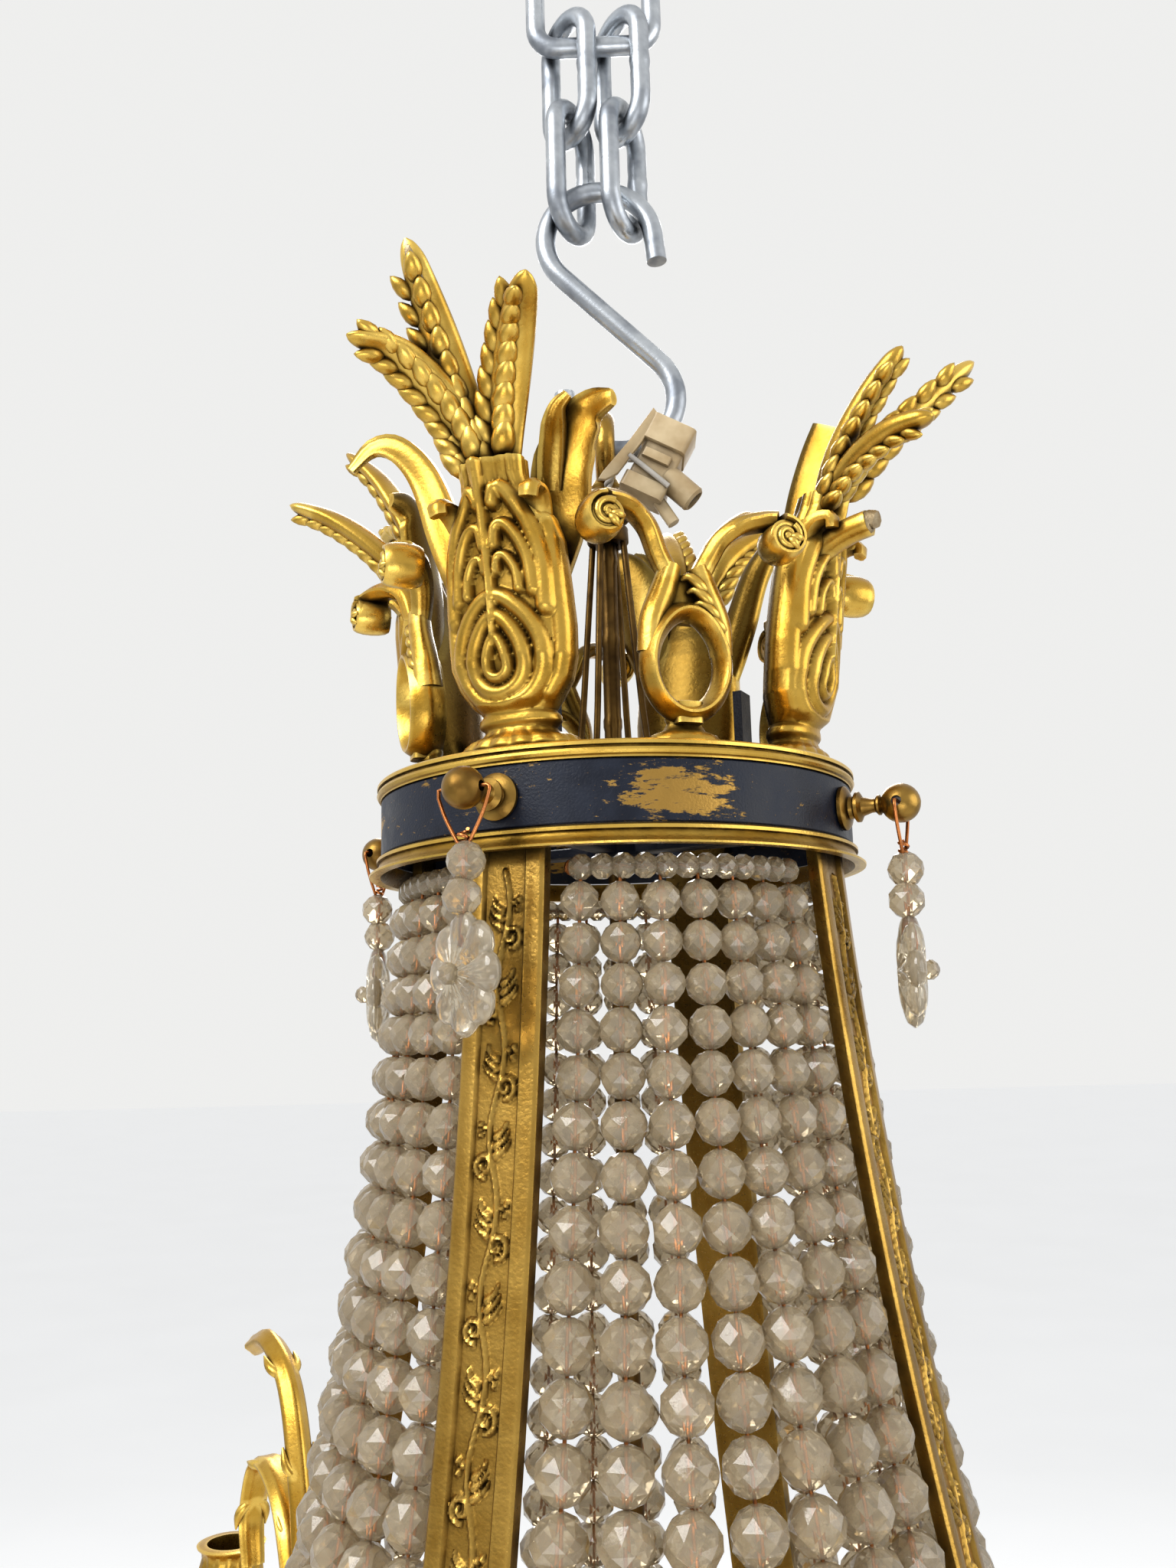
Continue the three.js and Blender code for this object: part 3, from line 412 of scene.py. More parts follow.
def round_bead(radius: float, flatten: float = 1.0, facets: int = 12) -> Shape:
    """A smooth bead on the Z axis.

    Args:
        radius: Its radius in millimetres.
        flatten: Its height as a share of its width.
        facets: Points around.

    Returns:
        The bead.
    """
    turn = np.linspace(-np.pi / 2, np.pi / 2, 8)
    rows = [(abs(radius * math.cos(t)), radius * flatten * math.sin(t)) for t in turn]
    rows[0], rows[-1] = (0, rows[0][1]), (0, rows[-1][1])
    return lathe(rows, facets)


def cut_bead(radius: float) -> Shape:
    """A faceted glass bead on the Z axis, with a flat face around each end of its hole.

    Args:
        radius: Its radius in millimetres.

    Returns:
        The bead.
    """
    sides = 8
    levels = ((0.97, 0.24, 0), (0.78, 0.62, 0.5), (0.36, 0.94, 0), (0.0, 1.0, 0.5),
              (-0.36, 0.94, 0), (-0.78, 0.62, 0.5), (-0.97, 0.24, 0))
    points, faces = [], []
    for height, wide, offset in levels:
        for j in range(sides):
            turn = 2 * math.pi * (j + offset) / sides
            points.append((radius * wide * math.cos(turn), radius * wide * math.sin(turn), radius * height))
    for i in range(len(levels) - 1):
        shift = 0 if i % 2 == 0 else 1
        for j in range(sides):
            a, a2 = i * sides + j, i * sides + (j + 1) % sides
            b = (i + 1) * sides + (j + shift) % sides
            b0 = (i + 1) * sides + (j - 1 + shift) % sides
            faces.append((a, a2, b))
            faces.append((a, b, b0))
    faces.append(tuple(range(sides)))
    faces.append(tuple(range((len(levels) - 1) * sides, len(levels) * sides))[::-1])
    return facing_out(Shape(np.array(points), faces))


@dataclass(frozen=True)
class Stroke:
    """A raised line on a carved face: its route, half width and height, and how its end narrows."""

    route: np.ndarray
    width: float
    height: float
    taper: float = 0.4


def carved(u: np.ndarray, z: np.ndarray, strokes: Iterable[Stroke]) -> np.ndarray:
    """The height of a carved relief at each point of a face.

    Args:
        u: Places across the face in millimetres.
        z: Places up the face in millimetres.
        strokes: The raised lines.

    Returns:
        Heights in millimetres.
    """
    total = np.zeros_like(u)
    for stroke in strokes:
        route = stroke.route
        count = len(route) - 1
        for i in range(count):
            a, b = route[i], route[i + 1]
            step = b - a
            share = np.clip(((u - a[0]) * step[0] + (z - a[1]) * step[1]) / max(step @ step, 1e-9), 0, 1)
            away = np.hypot(u - a[0] - share * step[0], z - a[1] - share * step[1])
            width = stroke.width * (1 + (stroke.taper - 1) * (i + share) / count)
            total = np.maximum(total, stroke.height * np.clip(1 - (away / width) ** 2, 0, 1) ** 0.75)
    return total


def spiral(centre: tuple[float, float], outer: float, inner: float, start: float, turns: float) -> np.ndarray:
    """Points of a flat spiral that winds in.

    Args:
        centre: Its middle.
        outer: Its radius at the start.
        inner: Its radius at the end.
        start: The angle that it starts at in degrees.
        turns: Its turns, negative for clockwise ones.

    Returns:
        The points.
    """
    share = np.linspace(0, 1, max(10, int(abs(turns) * 20)))
    angle = np.radians(start + 360 * turns * share)
    radius = outer + (inner - outer) * share
    return np.column_stack([centre[0] + radius * np.cos(angle), centre[1] + radius * np.sin(angle)])


# Finishes


def new_group(name: str, inputs: dict[str, float], outputs: dict[str, str]) -> bpy.types.ShaderNodeTree:
    """An empty shader node group.

    Args:
        name: The group's name.
        inputs: Each number that it takes, with its default.
        outputs: Each output's name, with its socket type.

    Returns:
        The group, with its input and output nodes in place.
    """
    group = bpy.data.node_groups.new(name, "ShaderNodeTree")
    for label, value in inputs.items():
        group.interface.new_socket(label, in_out="INPUT", socket_type="NodeSocketFloat").default_value = value
    for label, kind in outputs.items():
        group.interface.new_socket(label, in_out="OUTPUT", socket_type=kind)
    group.nodes.new("NodeGroupInput")
    group.nodes.new("NodeGroupOutput")
    return group


class Nodes:
    """A short way to add and join shader nodes in one tree."""

    def __init__(self, tree: bpy.types.NodeTree) -> None:
        """Keeps the tree that the nodes go into."""
        self.tree = tree

    def add(self, kind: str, **values: object) -> bpy.types.Node:
        """A new node with its properties, or its input sockets, set by name.

        Args:
            kind: The node's type without its ShaderNode prefix.
            **values: A property, a socket's value, or another socket to join to it.

        Returns:
            The node.
        """
        node = self.tree.nodes.new("ShaderNode" + kind)
        for name, value in values.items():
            if hasattr(node, name):
                setattr(node, name, value)
                continue
            index = name.removeprefix("in_")
            socket = node.inputs[int(index)] if index.isdigit() else node.inputs[name.replace("_", " ")]
            if isinstance(value, bpy.types.NodeSocket):
                self.tree.links.new(value, socket)
            else:
                socket.default_value = value
        return node

    def ends(self) -> tuple[bpy.types.Node, bpy.types.Node]:
        """The group's input and output nodes."""
        return self.tree.nodes["Group Input"], self.tree.nodes["Group Output"]

    def join(self, source: bpy.types.NodeSocket, target: bpy.types.NodeSocket) -> None:
        """Joins two sockets."""
        self.tree.links.new(source, target)

    def maths(self, operation: str, *values: object) -> bpy.types.NodeSocket:
        """A sum on numbers.

        Args:
            operation: What is done with them.
            *values: Up to three numbers, or sockets to join.

        Returns:
            The result's socket.
        """
        given = {f"in_{i}": value for i, value in enumerate(values)}
        return self.add("Math", operation=operation, **given).outputs[0]

    def vector_maths(self, operation: str, *values: object) -> bpy.types.NodeSocket:
        """A sum on vectors.

        Args:
            operation: What is done with them.
            *values: Vectors, or sockets to join.

        Returns:
            The result's socket, a number for a length or a dot product.
        """
        given = {f"in_{i}": value for i, value in enumerate(values)}
        node = self.add("VectorMath", operation=operation, **given)
        return node.outputs["Value" if operation in ("LENGTH", "DOT_PRODUCT") else "Vector"]

    def bump(
        self,
        shader: bpy.types.Node,
        height: bpy.types.NodeSocket,
        strength: float,
        distance: float,
    ) -> None:
        """Gives a surface shader a bump.

        Args:
            shader: The shader.
            height: The bump's height.
            strength: How strongly it shows, from 0 to 1.
            distance: Its depth in metres.
        """
        bump = self.add("Bump", Strength=strength, Distance=distance, Height=height)
        self.join(bump.outputs[0], shader.inputs["Normal"])

    def blend(self, factor: object, first: object, second: object) -> bpy.types.NodeSocket:
        """A mix of two colours.

        Args:
            factor: The second colour's share, or a socket.
            first: The first colour, or a socket.
            second: The second one, or a socket.

        Returns:
            The mix.
        """
        node = self.add("Mix", data_type="RGBA")
        for socket, value in ((node.inputs[0], factor), (node.inputs[6], first), (node.inputs[7], second)):
            if isinstance(value, bpy.types.NodeSocket):
                self.tree.links.new(value, socket)
            else:
                socket.default_value = value
        return node.outputs[2]

    def scale_to(
        self,
        value: bpy.types.NodeSocket,
        low: float,
        high: float,
        out_low: float = 0.0,
        out_high: float = 1.0,
    ) -> bpy.types.NodeSocket:
        """A value mapped from one range to another, and held inside it.

        Args:
            value: The value's socket.
            low: Where its range starts.
            high: Where it ends.
            out_low: What the start becomes.
            out_high: What the end becomes.

        Returns:
            The mapped value.
        """
        return self.add("MapRange", in_0=value, in_1=low, in_2=high, in_3=out_low, in_4=out_high).outputs[0]


def inward_mask(nodes: Nodes, place: bpy.types.NodeSocket) -> bpy.types.NodeSocket:
    """A mask of the faces inside the crown that look at the stem, for painted shade there.

    Args:
        nodes: The tree that it goes into.
        place: The point on the surface.

    Returns:
        The mask.
    """
    level = nodes.vector_maths("MULTIPLY", place, (1.0, 1.0, 0.0))
    away = nodes.vector_maths("LENGTH", level)
    out = nodes.vector_maths("NORMALIZE", level)
    facing = nodes.vector_maths("DOT_PRODUCT", nodes.add("NewGeometry").outputs["Normal"], out)
    # Inner faces that look at the stem are darkened: painted shade inside the crown.
    inward = nodes.scale_to(facing, -0.55, 0.0, 1.0, 0.0)
    inside = nodes.scale_to(away, 0.062, 0.070, 1.0, 0.0)
    return nodes.maths("MULTIPLY", inward, inside)


def hollow_dirt_and_shade_group() -> bpy.types.ShaderNodeTree:
    """Masks of dirt and painted shade in hollows, of painted shade in deep places and on the crown's inner
    faces, and of rubbing on raised edges.

    Returns:
        The group.
    """
    masks = {"DirtAndShade": "NodeSocketFloat", "DeepShade": "NodeSocketFloat", "Edge": "NodeSocketFloat"}
    group = new_group("hollow_dirt_and_shade", {"Reach": 0.003, "Scale": 260.0}, masks)
    nodes = Nodes(group)
    given, result = nodes.ends()
    reach = given.outputs["Reach"]
    place = nodes.add("TexCoord").outputs["Object"]
    noise = nodes.add("TexNoise", Vector=place, Scale=given.outputs["Scale"], Detail=4.0).outputs[0]
    broken = nodes.scale_to(noise, 0.3, 0.65, 0.6, 1.0)
    # Near ambient occlusion: painted shade in hollows, broken up by noise as dirt.
    near = nodes.add("AmbientOcclusion", samples=8, Distance=reach).outputs["AO"]
    hollow = nodes.scale_to(near, 0.45, 0.97, 1.0, 0.0)
    nodes.join(nodes.maths("MULTIPLY", hollow, broken), result.inputs["DirtAndShade"])
    # Far ambient occlusion: painted shade in deep places, joined with painted shade on the crown's inner
    # faces.
    wide = nodes.maths("MULTIPLY", reach, 7.0)
    far = nodes.add("AmbientOcclusion", samples=6, Distance=wide).outputs["AO"]
    deep = nodes.scale_to(far, 0.15, 0.72, 1.0, 0.0)
    nodes.join(nodes.maths("MAXIMUM", deep, inward_mask(nodes, place)), result.inputs["DeepShade"])
    tight = nodes.maths("MULTIPLY", reach, 0.35)
    within = nodes.add("AmbientOcclusion", samples=6, inside=True, Distance=tight).outputs["AO"]
    nodes.join(nodes.scale_to(within, 0.5, 0.95, 1.0, 0.0), result.inputs["Edge"])
    return group


def mottle_group() -> bpy.types.ShaderNodeTree:
    """Two sizes of soft patches over a surface, and a fine grain for bump.

    Returns:
        The group.
    """
    group = new_group("mottle", {"Scale": 60.0}, {"Patches": "NodeSocketFloat", "Fine": "NodeSocketFloat"})
    nodes = Nodes(group)
    given, result = nodes.ends()
    place = nodes.add("TexCoord").outputs["Object"]
    scale = given.outputs["Scale"]
    broad = nodes.add("TexNoise", Vector=place, Scale=scale, Detail=3.0, Roughness=0.6).outputs[0]
    nodes.join(nodes.scale_to(broad, 0.32, 0.68), result.inputs["Patches"])
    finer = nodes.maths("MULTIPLY", scale, 14.0)
    nodes.join(nodes.add("TexNoise", Vector=place, Scale=finer, Detail=2.0).outputs[0], result.inputs["Fine"])
    return group


def rubbed_group() -> bpy.types.ShaderNodeTree:
    """A mask of a rubbed patch, wider than it is high, with streaks along the band.

    Returns:
        The group.
    """
    inputs = {"X": 0.0, "Y": 0.0, "Z": 0.0, "Radius": 0.02}
    group = new_group("rubbed", inputs, {"Rubbed": "NodeSocketFloat"})
    nodes = Nodes(group)
    given, result = nodes.ends()
    place = nodes.add("TexCoord").outputs["Object"]
    x, y, z = (given.outputs[axis] for axis in "XYZ")
    centre = nodes.add("CombineXYZ", in_0=x, in_1=y, in_2=z).outputs[0]
    offset = nodes.vector_maths("SUBTRACT", place, centre)
    flat = nodes.vector_maths("MULTIPLY", offset, (1.0, 1.0, 2.4))
    away = nodes.vector_maths("LENGTH", flat)
    share = nodes.maths("DIVIDE", away, given.outputs["Radius"])
    near = nodes.scale_to(share, 0.35, 1.0, 0.27, 0.0)
    streaks = nodes.vector_maths("MULTIPLY", offset, (1.0, 1.0, 3.6))
    noise = nodes.add("TexNoise", Vector=streaks, Scale=120.0, Detail=6.0, Roughness=0.7).outputs[0]
    total = nodes.maths("ADD", noise, near)
    nodes.join(nodes.scale_to(total, 0.66, 0.71), result.inputs["Rubbed"])
    return group


GROUPS = {"dirt_and_shade": hollow_dirt_and_shade_group(), "mottle": mottle_group(), "rubbed": rubbed_group()}


def place_group(nodes: Nodes, name: str, **values: float) -> bpy.types.Node:
    """One of the shared groups, placed in a material.

    Args:
        nodes: The material's nodes.
        name: The group's short name.
        **values: The numbers that it takes there.

    Returns:
        The group's node.
    """
    node = nodes.tree.nodes.new("ShaderNodeGroup")
    node.node_tree = GROUPS[name]
    for label, value in values.items():
        node.inputs[label].default_value = value
    return node


def start_material(name: str) -> tuple[bpy.types.Material, Nodes, bpy.types.Node]:
    """A new material.

    Args:
        name: Its name.

    Returns:
        The material, its nodes and its surface shader.
    """
    material = bpy.data.materials.new(name)
    material.use_nodes = True
    return material, Nodes(material.node_tree), material.node_tree.nodes["Principled BSDF"]


@dataclass(frozen=True)
class Gilding:
    """Fire-gilt bronze: bright where it is rubbed, brown with dirt and painted shade in its hollows, and
    painted shade deep down.
    """

    name: str = "gilding"
    bright: Colour = srgb(0.92, 0.77, 0.38)
    middle: Colour = srgb(0.70, 0.53, 0.18)
    # The brown colour is dirt and painted shade in hollows; the darkest one is painted shade deep down and
    # inside the crown.
    brown: Colour = srgb(0.22, 0.135, 0.05)
    deep_shade: Colour = srgb(0.10, 0.065, 0.035)
    reach: float = 0.0045
    grain: float = 0.10

    def build(self) -> bpy.types.Material:
        """Makes the finish.

        Returns:
            The material.
        """
        material, nodes, shader = start_material(self.name)
        mottle = place_group(nodes, "mottle", Scale=70.0)
        dirt_and_shade = place_group(nodes, "dirt_and_shade", Reach=self.reach, Scale=300.0)
        patchy = nodes.scale_to(mottle.outputs["Patches"], 0.0, 1.0, 0.0, 0.45)
        rubbed = nodes.maths("MULTIPLY_ADD", dirt_and_shade.outputs["Edge"], 0.7, patchy)
        base = nodes.blend(rubbed, self.middle, self.bright)
        # Hollows go brown with dirt and painted shade; deep places go dark with painted shade.
        dirty_and_shaded = nodes.blend(dirt_and_shade.outputs["DirtAndShade"], base, self.brown)
        deep_shade_share = nodes.maths("MULTIPLY", dirt_and_shade.outputs["DeepShade"], 0.8)
        nodes.join(nodes.blend(deep_shade_share, dirty_and_shaded, self.deep_shade), shader.inputs["Base Color"])
        rough = nodes.scale_to(dirt_and_shade.outputs["DirtAndShade"], 0.0, 1.0, 0.22, 0.60)
        varied = nodes.maths("MULTIPLY_ADD", mottle.outputs["Fine"], 0.14, rough)
        nodes.join(varied, shader.inputs["Roughness"])
        shader.inputs["Metallic"].default_value = 1.0
        nodes.bump(shader, mottle.outputs["Fine"], self.grain, 0.0006)
        return material


@dataclass(frozen=True)
class BandPaint:
    """Dark blue paint over gilding, rubbed through in patches."""

    name: str = "band_paint"
    paint: Colour = srgb(0.045, 0.065, 0.115)
    faded: Colour = srgb(0.085, 0.11, 0.165)
    gold: Colour = srgb(0.64, 0.50, 0.25)
    spots: tuple[Colour, ...] = ()

    def build(self) -> bpy.types.Material:
        """Makes the finish.

        Returns:
            The material.
        """
        material, nodes, shader = start_material(self.name)
        mottle = place_group(nodes, "mottle", Scale=120.0)
        mask = nodes.scale_to(mottle.outputs["Fine"], 0.73, 0.79)
        for x, y, z, radius in self.spots:
            spot = place_group(nodes, "rubbed", X=x, Y=y, Z=z, Radius=radius)
            mask = nodes.maths("MAXIMUM", mask, spot.outputs[0])
        painted = nodes.blend(mottle.outputs["Patches"], self.paint, self.faded)
        nodes.join(nodes.blend(mask, painted, self.gold), shader.inputs["Base Color"])
        nodes.join(mask, shader.inputs["Metallic"])
        nodes.join(nodes.scale_to(mottle.outputs["Patches"], 0, 1, 0.34, 0.5), shader.inputs["Roughness"])
        shader.inputs["Specular IOR Level"].default_value = 0.25
        worn = nodes.maths("MULTIPLY_ADD", mask, -0.7, mottle.outputs["Fine"])
        nodes.bump(shader, worn, 0.25, 0.0004)
        return material


@dataclass(frozen=True)
class PlainMetal:
    """Metal with soft patches, a fine grain, and a little dirt and painted shade in its hollows."""

    name: str
    bright: Colour
    dull: Colour
    smooth: float = 0.25
    rough: float = 0.5
    grain: float = 0.1
    scale: float = 90.0

    def build(self) -> bpy.types.Material:
        """Makes the finish.

        Returns:
            The material.
        """
        material, nodes, shader = start_material(self.name)
        mottle = place_group(nodes, "mottle", Scale=self.scale)
        dirt_and_shade = place_group(nodes, "dirt_and_shade", Reach=0.003, Scale=400.0)
        patches = nodes.blend(mottle.outputs["Patches"], self.bright, self.dull)
        # Darkened where the hollow mask is high: dirt plus painted shade.
        dark = tuple(c * 0.3 for c in self.dull[:3]) + (1.0,)
        nodes.join(nodes.blend(dirt_and_shade.outputs["DirtAndShade"], patches, dark), shader.inputs["Base Color"])
        rough = nodes.scale_to(mottle.outputs["Patches"], 0, 1, self.smooth, self.rough)
        nodes.join(rough, shader.inputs["Roughness"])
        shader.inputs["Metallic"].default_value = 1.0
        nodes.bump(shader, mottle.outputs["Fine"], self.grain, 0.0004)
        return material


@dataclass(frozen=True)
class CutGlass:
    """Glass with a smoky tint under a film of dust that keeps some light back."""

    name: str
    tint: Colour
    clear: float = 0.66
    dust: float = 0.2

    def build(self) -> bpy.types.Material:
        """Makes the finish.

        Returns:
            The material.
        """
        material, nodes, shader = start_material(self.name)
        mottle = place_group(nodes, "mottle", Scale=150.0)
        darker = tuple(c * 0.72 for c in self.tint[:3]) + (1.0,)
        nodes.join(nodes.blend(mottle.outputs["Patches"], self.tint, darker), shader.inputs["Base Color"])
        rough = nodes.scale_to(mottle.outputs["Fine"], 0.4, 0.75, 0.03, self.dust)
        nodes.join(rough, shader.inputs["Roughness"])
        shader.inputs["Transmission Weight"].default_value = self.clear
        shader.inputs["IOR"].default_value = 1.52
        return material


@dataclass(frozen=True)
class Moulding:
    """Moulded plastic, yellowed, with dirt and painted shade in its corners."""

    name: str
    clean: Colour
    aged: Colour
    roughness: float = 0.42

    def build(self) -> bpy.types.Material:
        """Makes the finish.

        Returns:
            The material.
        """
        material, nodes, shader = start_material(self.name)
        mottle = place_group(nodes, "mottle", Scale=110.0)
        dirt_and_shade = place_group(nodes, "dirt_and_shade", Reach=0.003, Scale=300.0)
        patches = nodes.blend(mottle.outputs["Patches"], self.clean, self.aged)
        # Darkened where the hollow mask is high: dirt plus painted shade.
        dark = tuple(c * 0.35 for c in self.aged[:3]) + (1.0,)
        nodes.join(nodes.blend(dirt_and_shade.outputs["DirtAndShade"], patches, dark), shader.inputs["Base Color"])
        shader.inputs["Roughness"].default_value = self.roughness
        nodes.bump(shader, mottle.outputs["Fine"], 0.12, 0.0003)
        return material


# The painted band is rubbed to the gilding at these places: x, y, z and radius in metres
RUBBED_SPOTS = (
    (0.0405, -0.0499, RING_MID - 0.0005, 0.023),
    (-0.0529, -0.0366, RING_MID + 0.000, 0.015),
    (-0.040, 0.050, RING_MID, 0.018),
    (0.055, 0.032, RING_MID, 0.014),
)


class Finish(Enum):
    """Every finish on the chandelier, with the record's slot that it stands for."""

    GILT = (Gilding(), "gilt")
    # Worn gilding: its brown colour is dirt and painted shade in hollows, its darkest one painted shade deep
    # down.
    GILT_WORN = (
        Gilding(
            "worn_gilding", srgb(0.80, 0.65, 0.33), srgb(0.58, 0.44, 0.18), srgb(0.17, 0.11, 0.05),
            srgb(0.08, 0.055, 0.03), 0.005, 0.16,
        ),
        "gilt",
    )
    BARE = (
        PlainMetal("bare_bronze", srgb(0.74, 0.67, 0.54), srgb(0.52, 0.44, 0.32), 0.35, 0.6, 0.3, 160.0),
        "gilt",
    )
    BRONZE = (PlainMetal("stud_bronze", srgb(0.66, 0.52, 0.25), srgb(0.42, 0.31, 0.14), 0.25, 0.45), "gilt")
    # A darkened copy of gilt bronze for the gilt stem and stays inside the cage: painted shade.
    DARK_BRONZE = (
        PlainMetal("dark_bronze", srgb(0.46, 0.35, 0.18), srgb(0.26, 0.19, 0.10), 0.3, 0.5),
        "gilt",
    )
    BAND = (BandPaint(spots=RUBBED_SPOTS), "navy_paint")
    IRON = (BandPaint("iron_paint"), "navy_paint")
    ZINC = (PlainMetal("zinc_plate", srgb(0.79, 0.81, 0.83), srgb(0.52, 0.54, 0.57)), "chain")
    COPPER = (PlainMetal("copper_wire", srgb(0.90, 0.58, 0.34), srgb(0.62, 0.37, 0.20), 0.2, 0.4), "glass")
    GLASS = (CutGlass("cut_glass", srgb(0.84, 0.77, 0.64)), "glass")
    PRESSED = (CutGlass("pressed_glass", srgb(0.90, 0.85, 0.75), 0.8, 0.22), "glass")
    IVORY = (Moulding("ivory_block", srgb(0.80, 0.72, 0.57), srgb(0.66, 0.56, 0.40)), "ivory")
    LEAD = (Moulding("lead_cover", srgb(0.76, 0.74, 0.70), srgb(0.60, 0.58, 0.55), 0.5), "lead")


MATERIALS = {finish: finish.value[0].build() for finish in Finish}


# Placing


@dataclass(frozen=True)
class Station:
    """A place around the stem: ornaments are drawn facing -Y and then turned to it."""

    azimuth: float = 0.0

    def world(self, points: np.ndarray) -> np.ndarray:
        """Puts points in their place around the stem.

        Args:
            points: Millimetres above the band's middle.

        Returns:
            Metres in the shared frame.
        """
        a = math.radians(self.azimuth)
        turn = np.array([[math.cos(a), -math.sin(a), 0], [math.sin(a), math.cos(a), 0], [0, 0, 1]])
        return points @ turn.T * MM + np.array([0, 0, RING_MID])


def show(
    name: str,
    shape: Shape,
    finish: Finish,
    body: str = "frame",
    station: Station = Station(),
    nodes: Sequence[str] = (),
    smooth: float | None = 35.0,
) -> bpy.types.Object:
    """Makes a shape a piece of the scene.

    Args:
        name: The piece's name.
        shape: Its points and faces.
        finish: What it is finished in.
        body: The moving body that it rides on.
        station: Its place around the stem.
        nodes: The CAD nodes that it stands for.
        smooth: The sharpest angle in degrees that is shaded smooth, or None for flat facets.

    Returns:
        The new object.
    """
    mesh = bpy.data.meshes.new(name)
    mesh.from_pydata(station.world(shape.points).tolist(), [], shape.faces)
    mesh.materials.append(MATERIALS[finish])
    mesh.validate()
    piece = bpy.data.objects.new(name, mesh)
    bpy.context.scene.collection.objects.link(piece)
    if smooth is not None:
        mesh.shade_smooth()
        mesh.set_sharp_from_angle(angle=math.radians(smooth))
    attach(piece, body)
    if nodes:
        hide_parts(*nodes)
    LOG.info("%s: %d points on %s", name, len(mesh.vertices), body)
    return piece


# Sub-assemblies


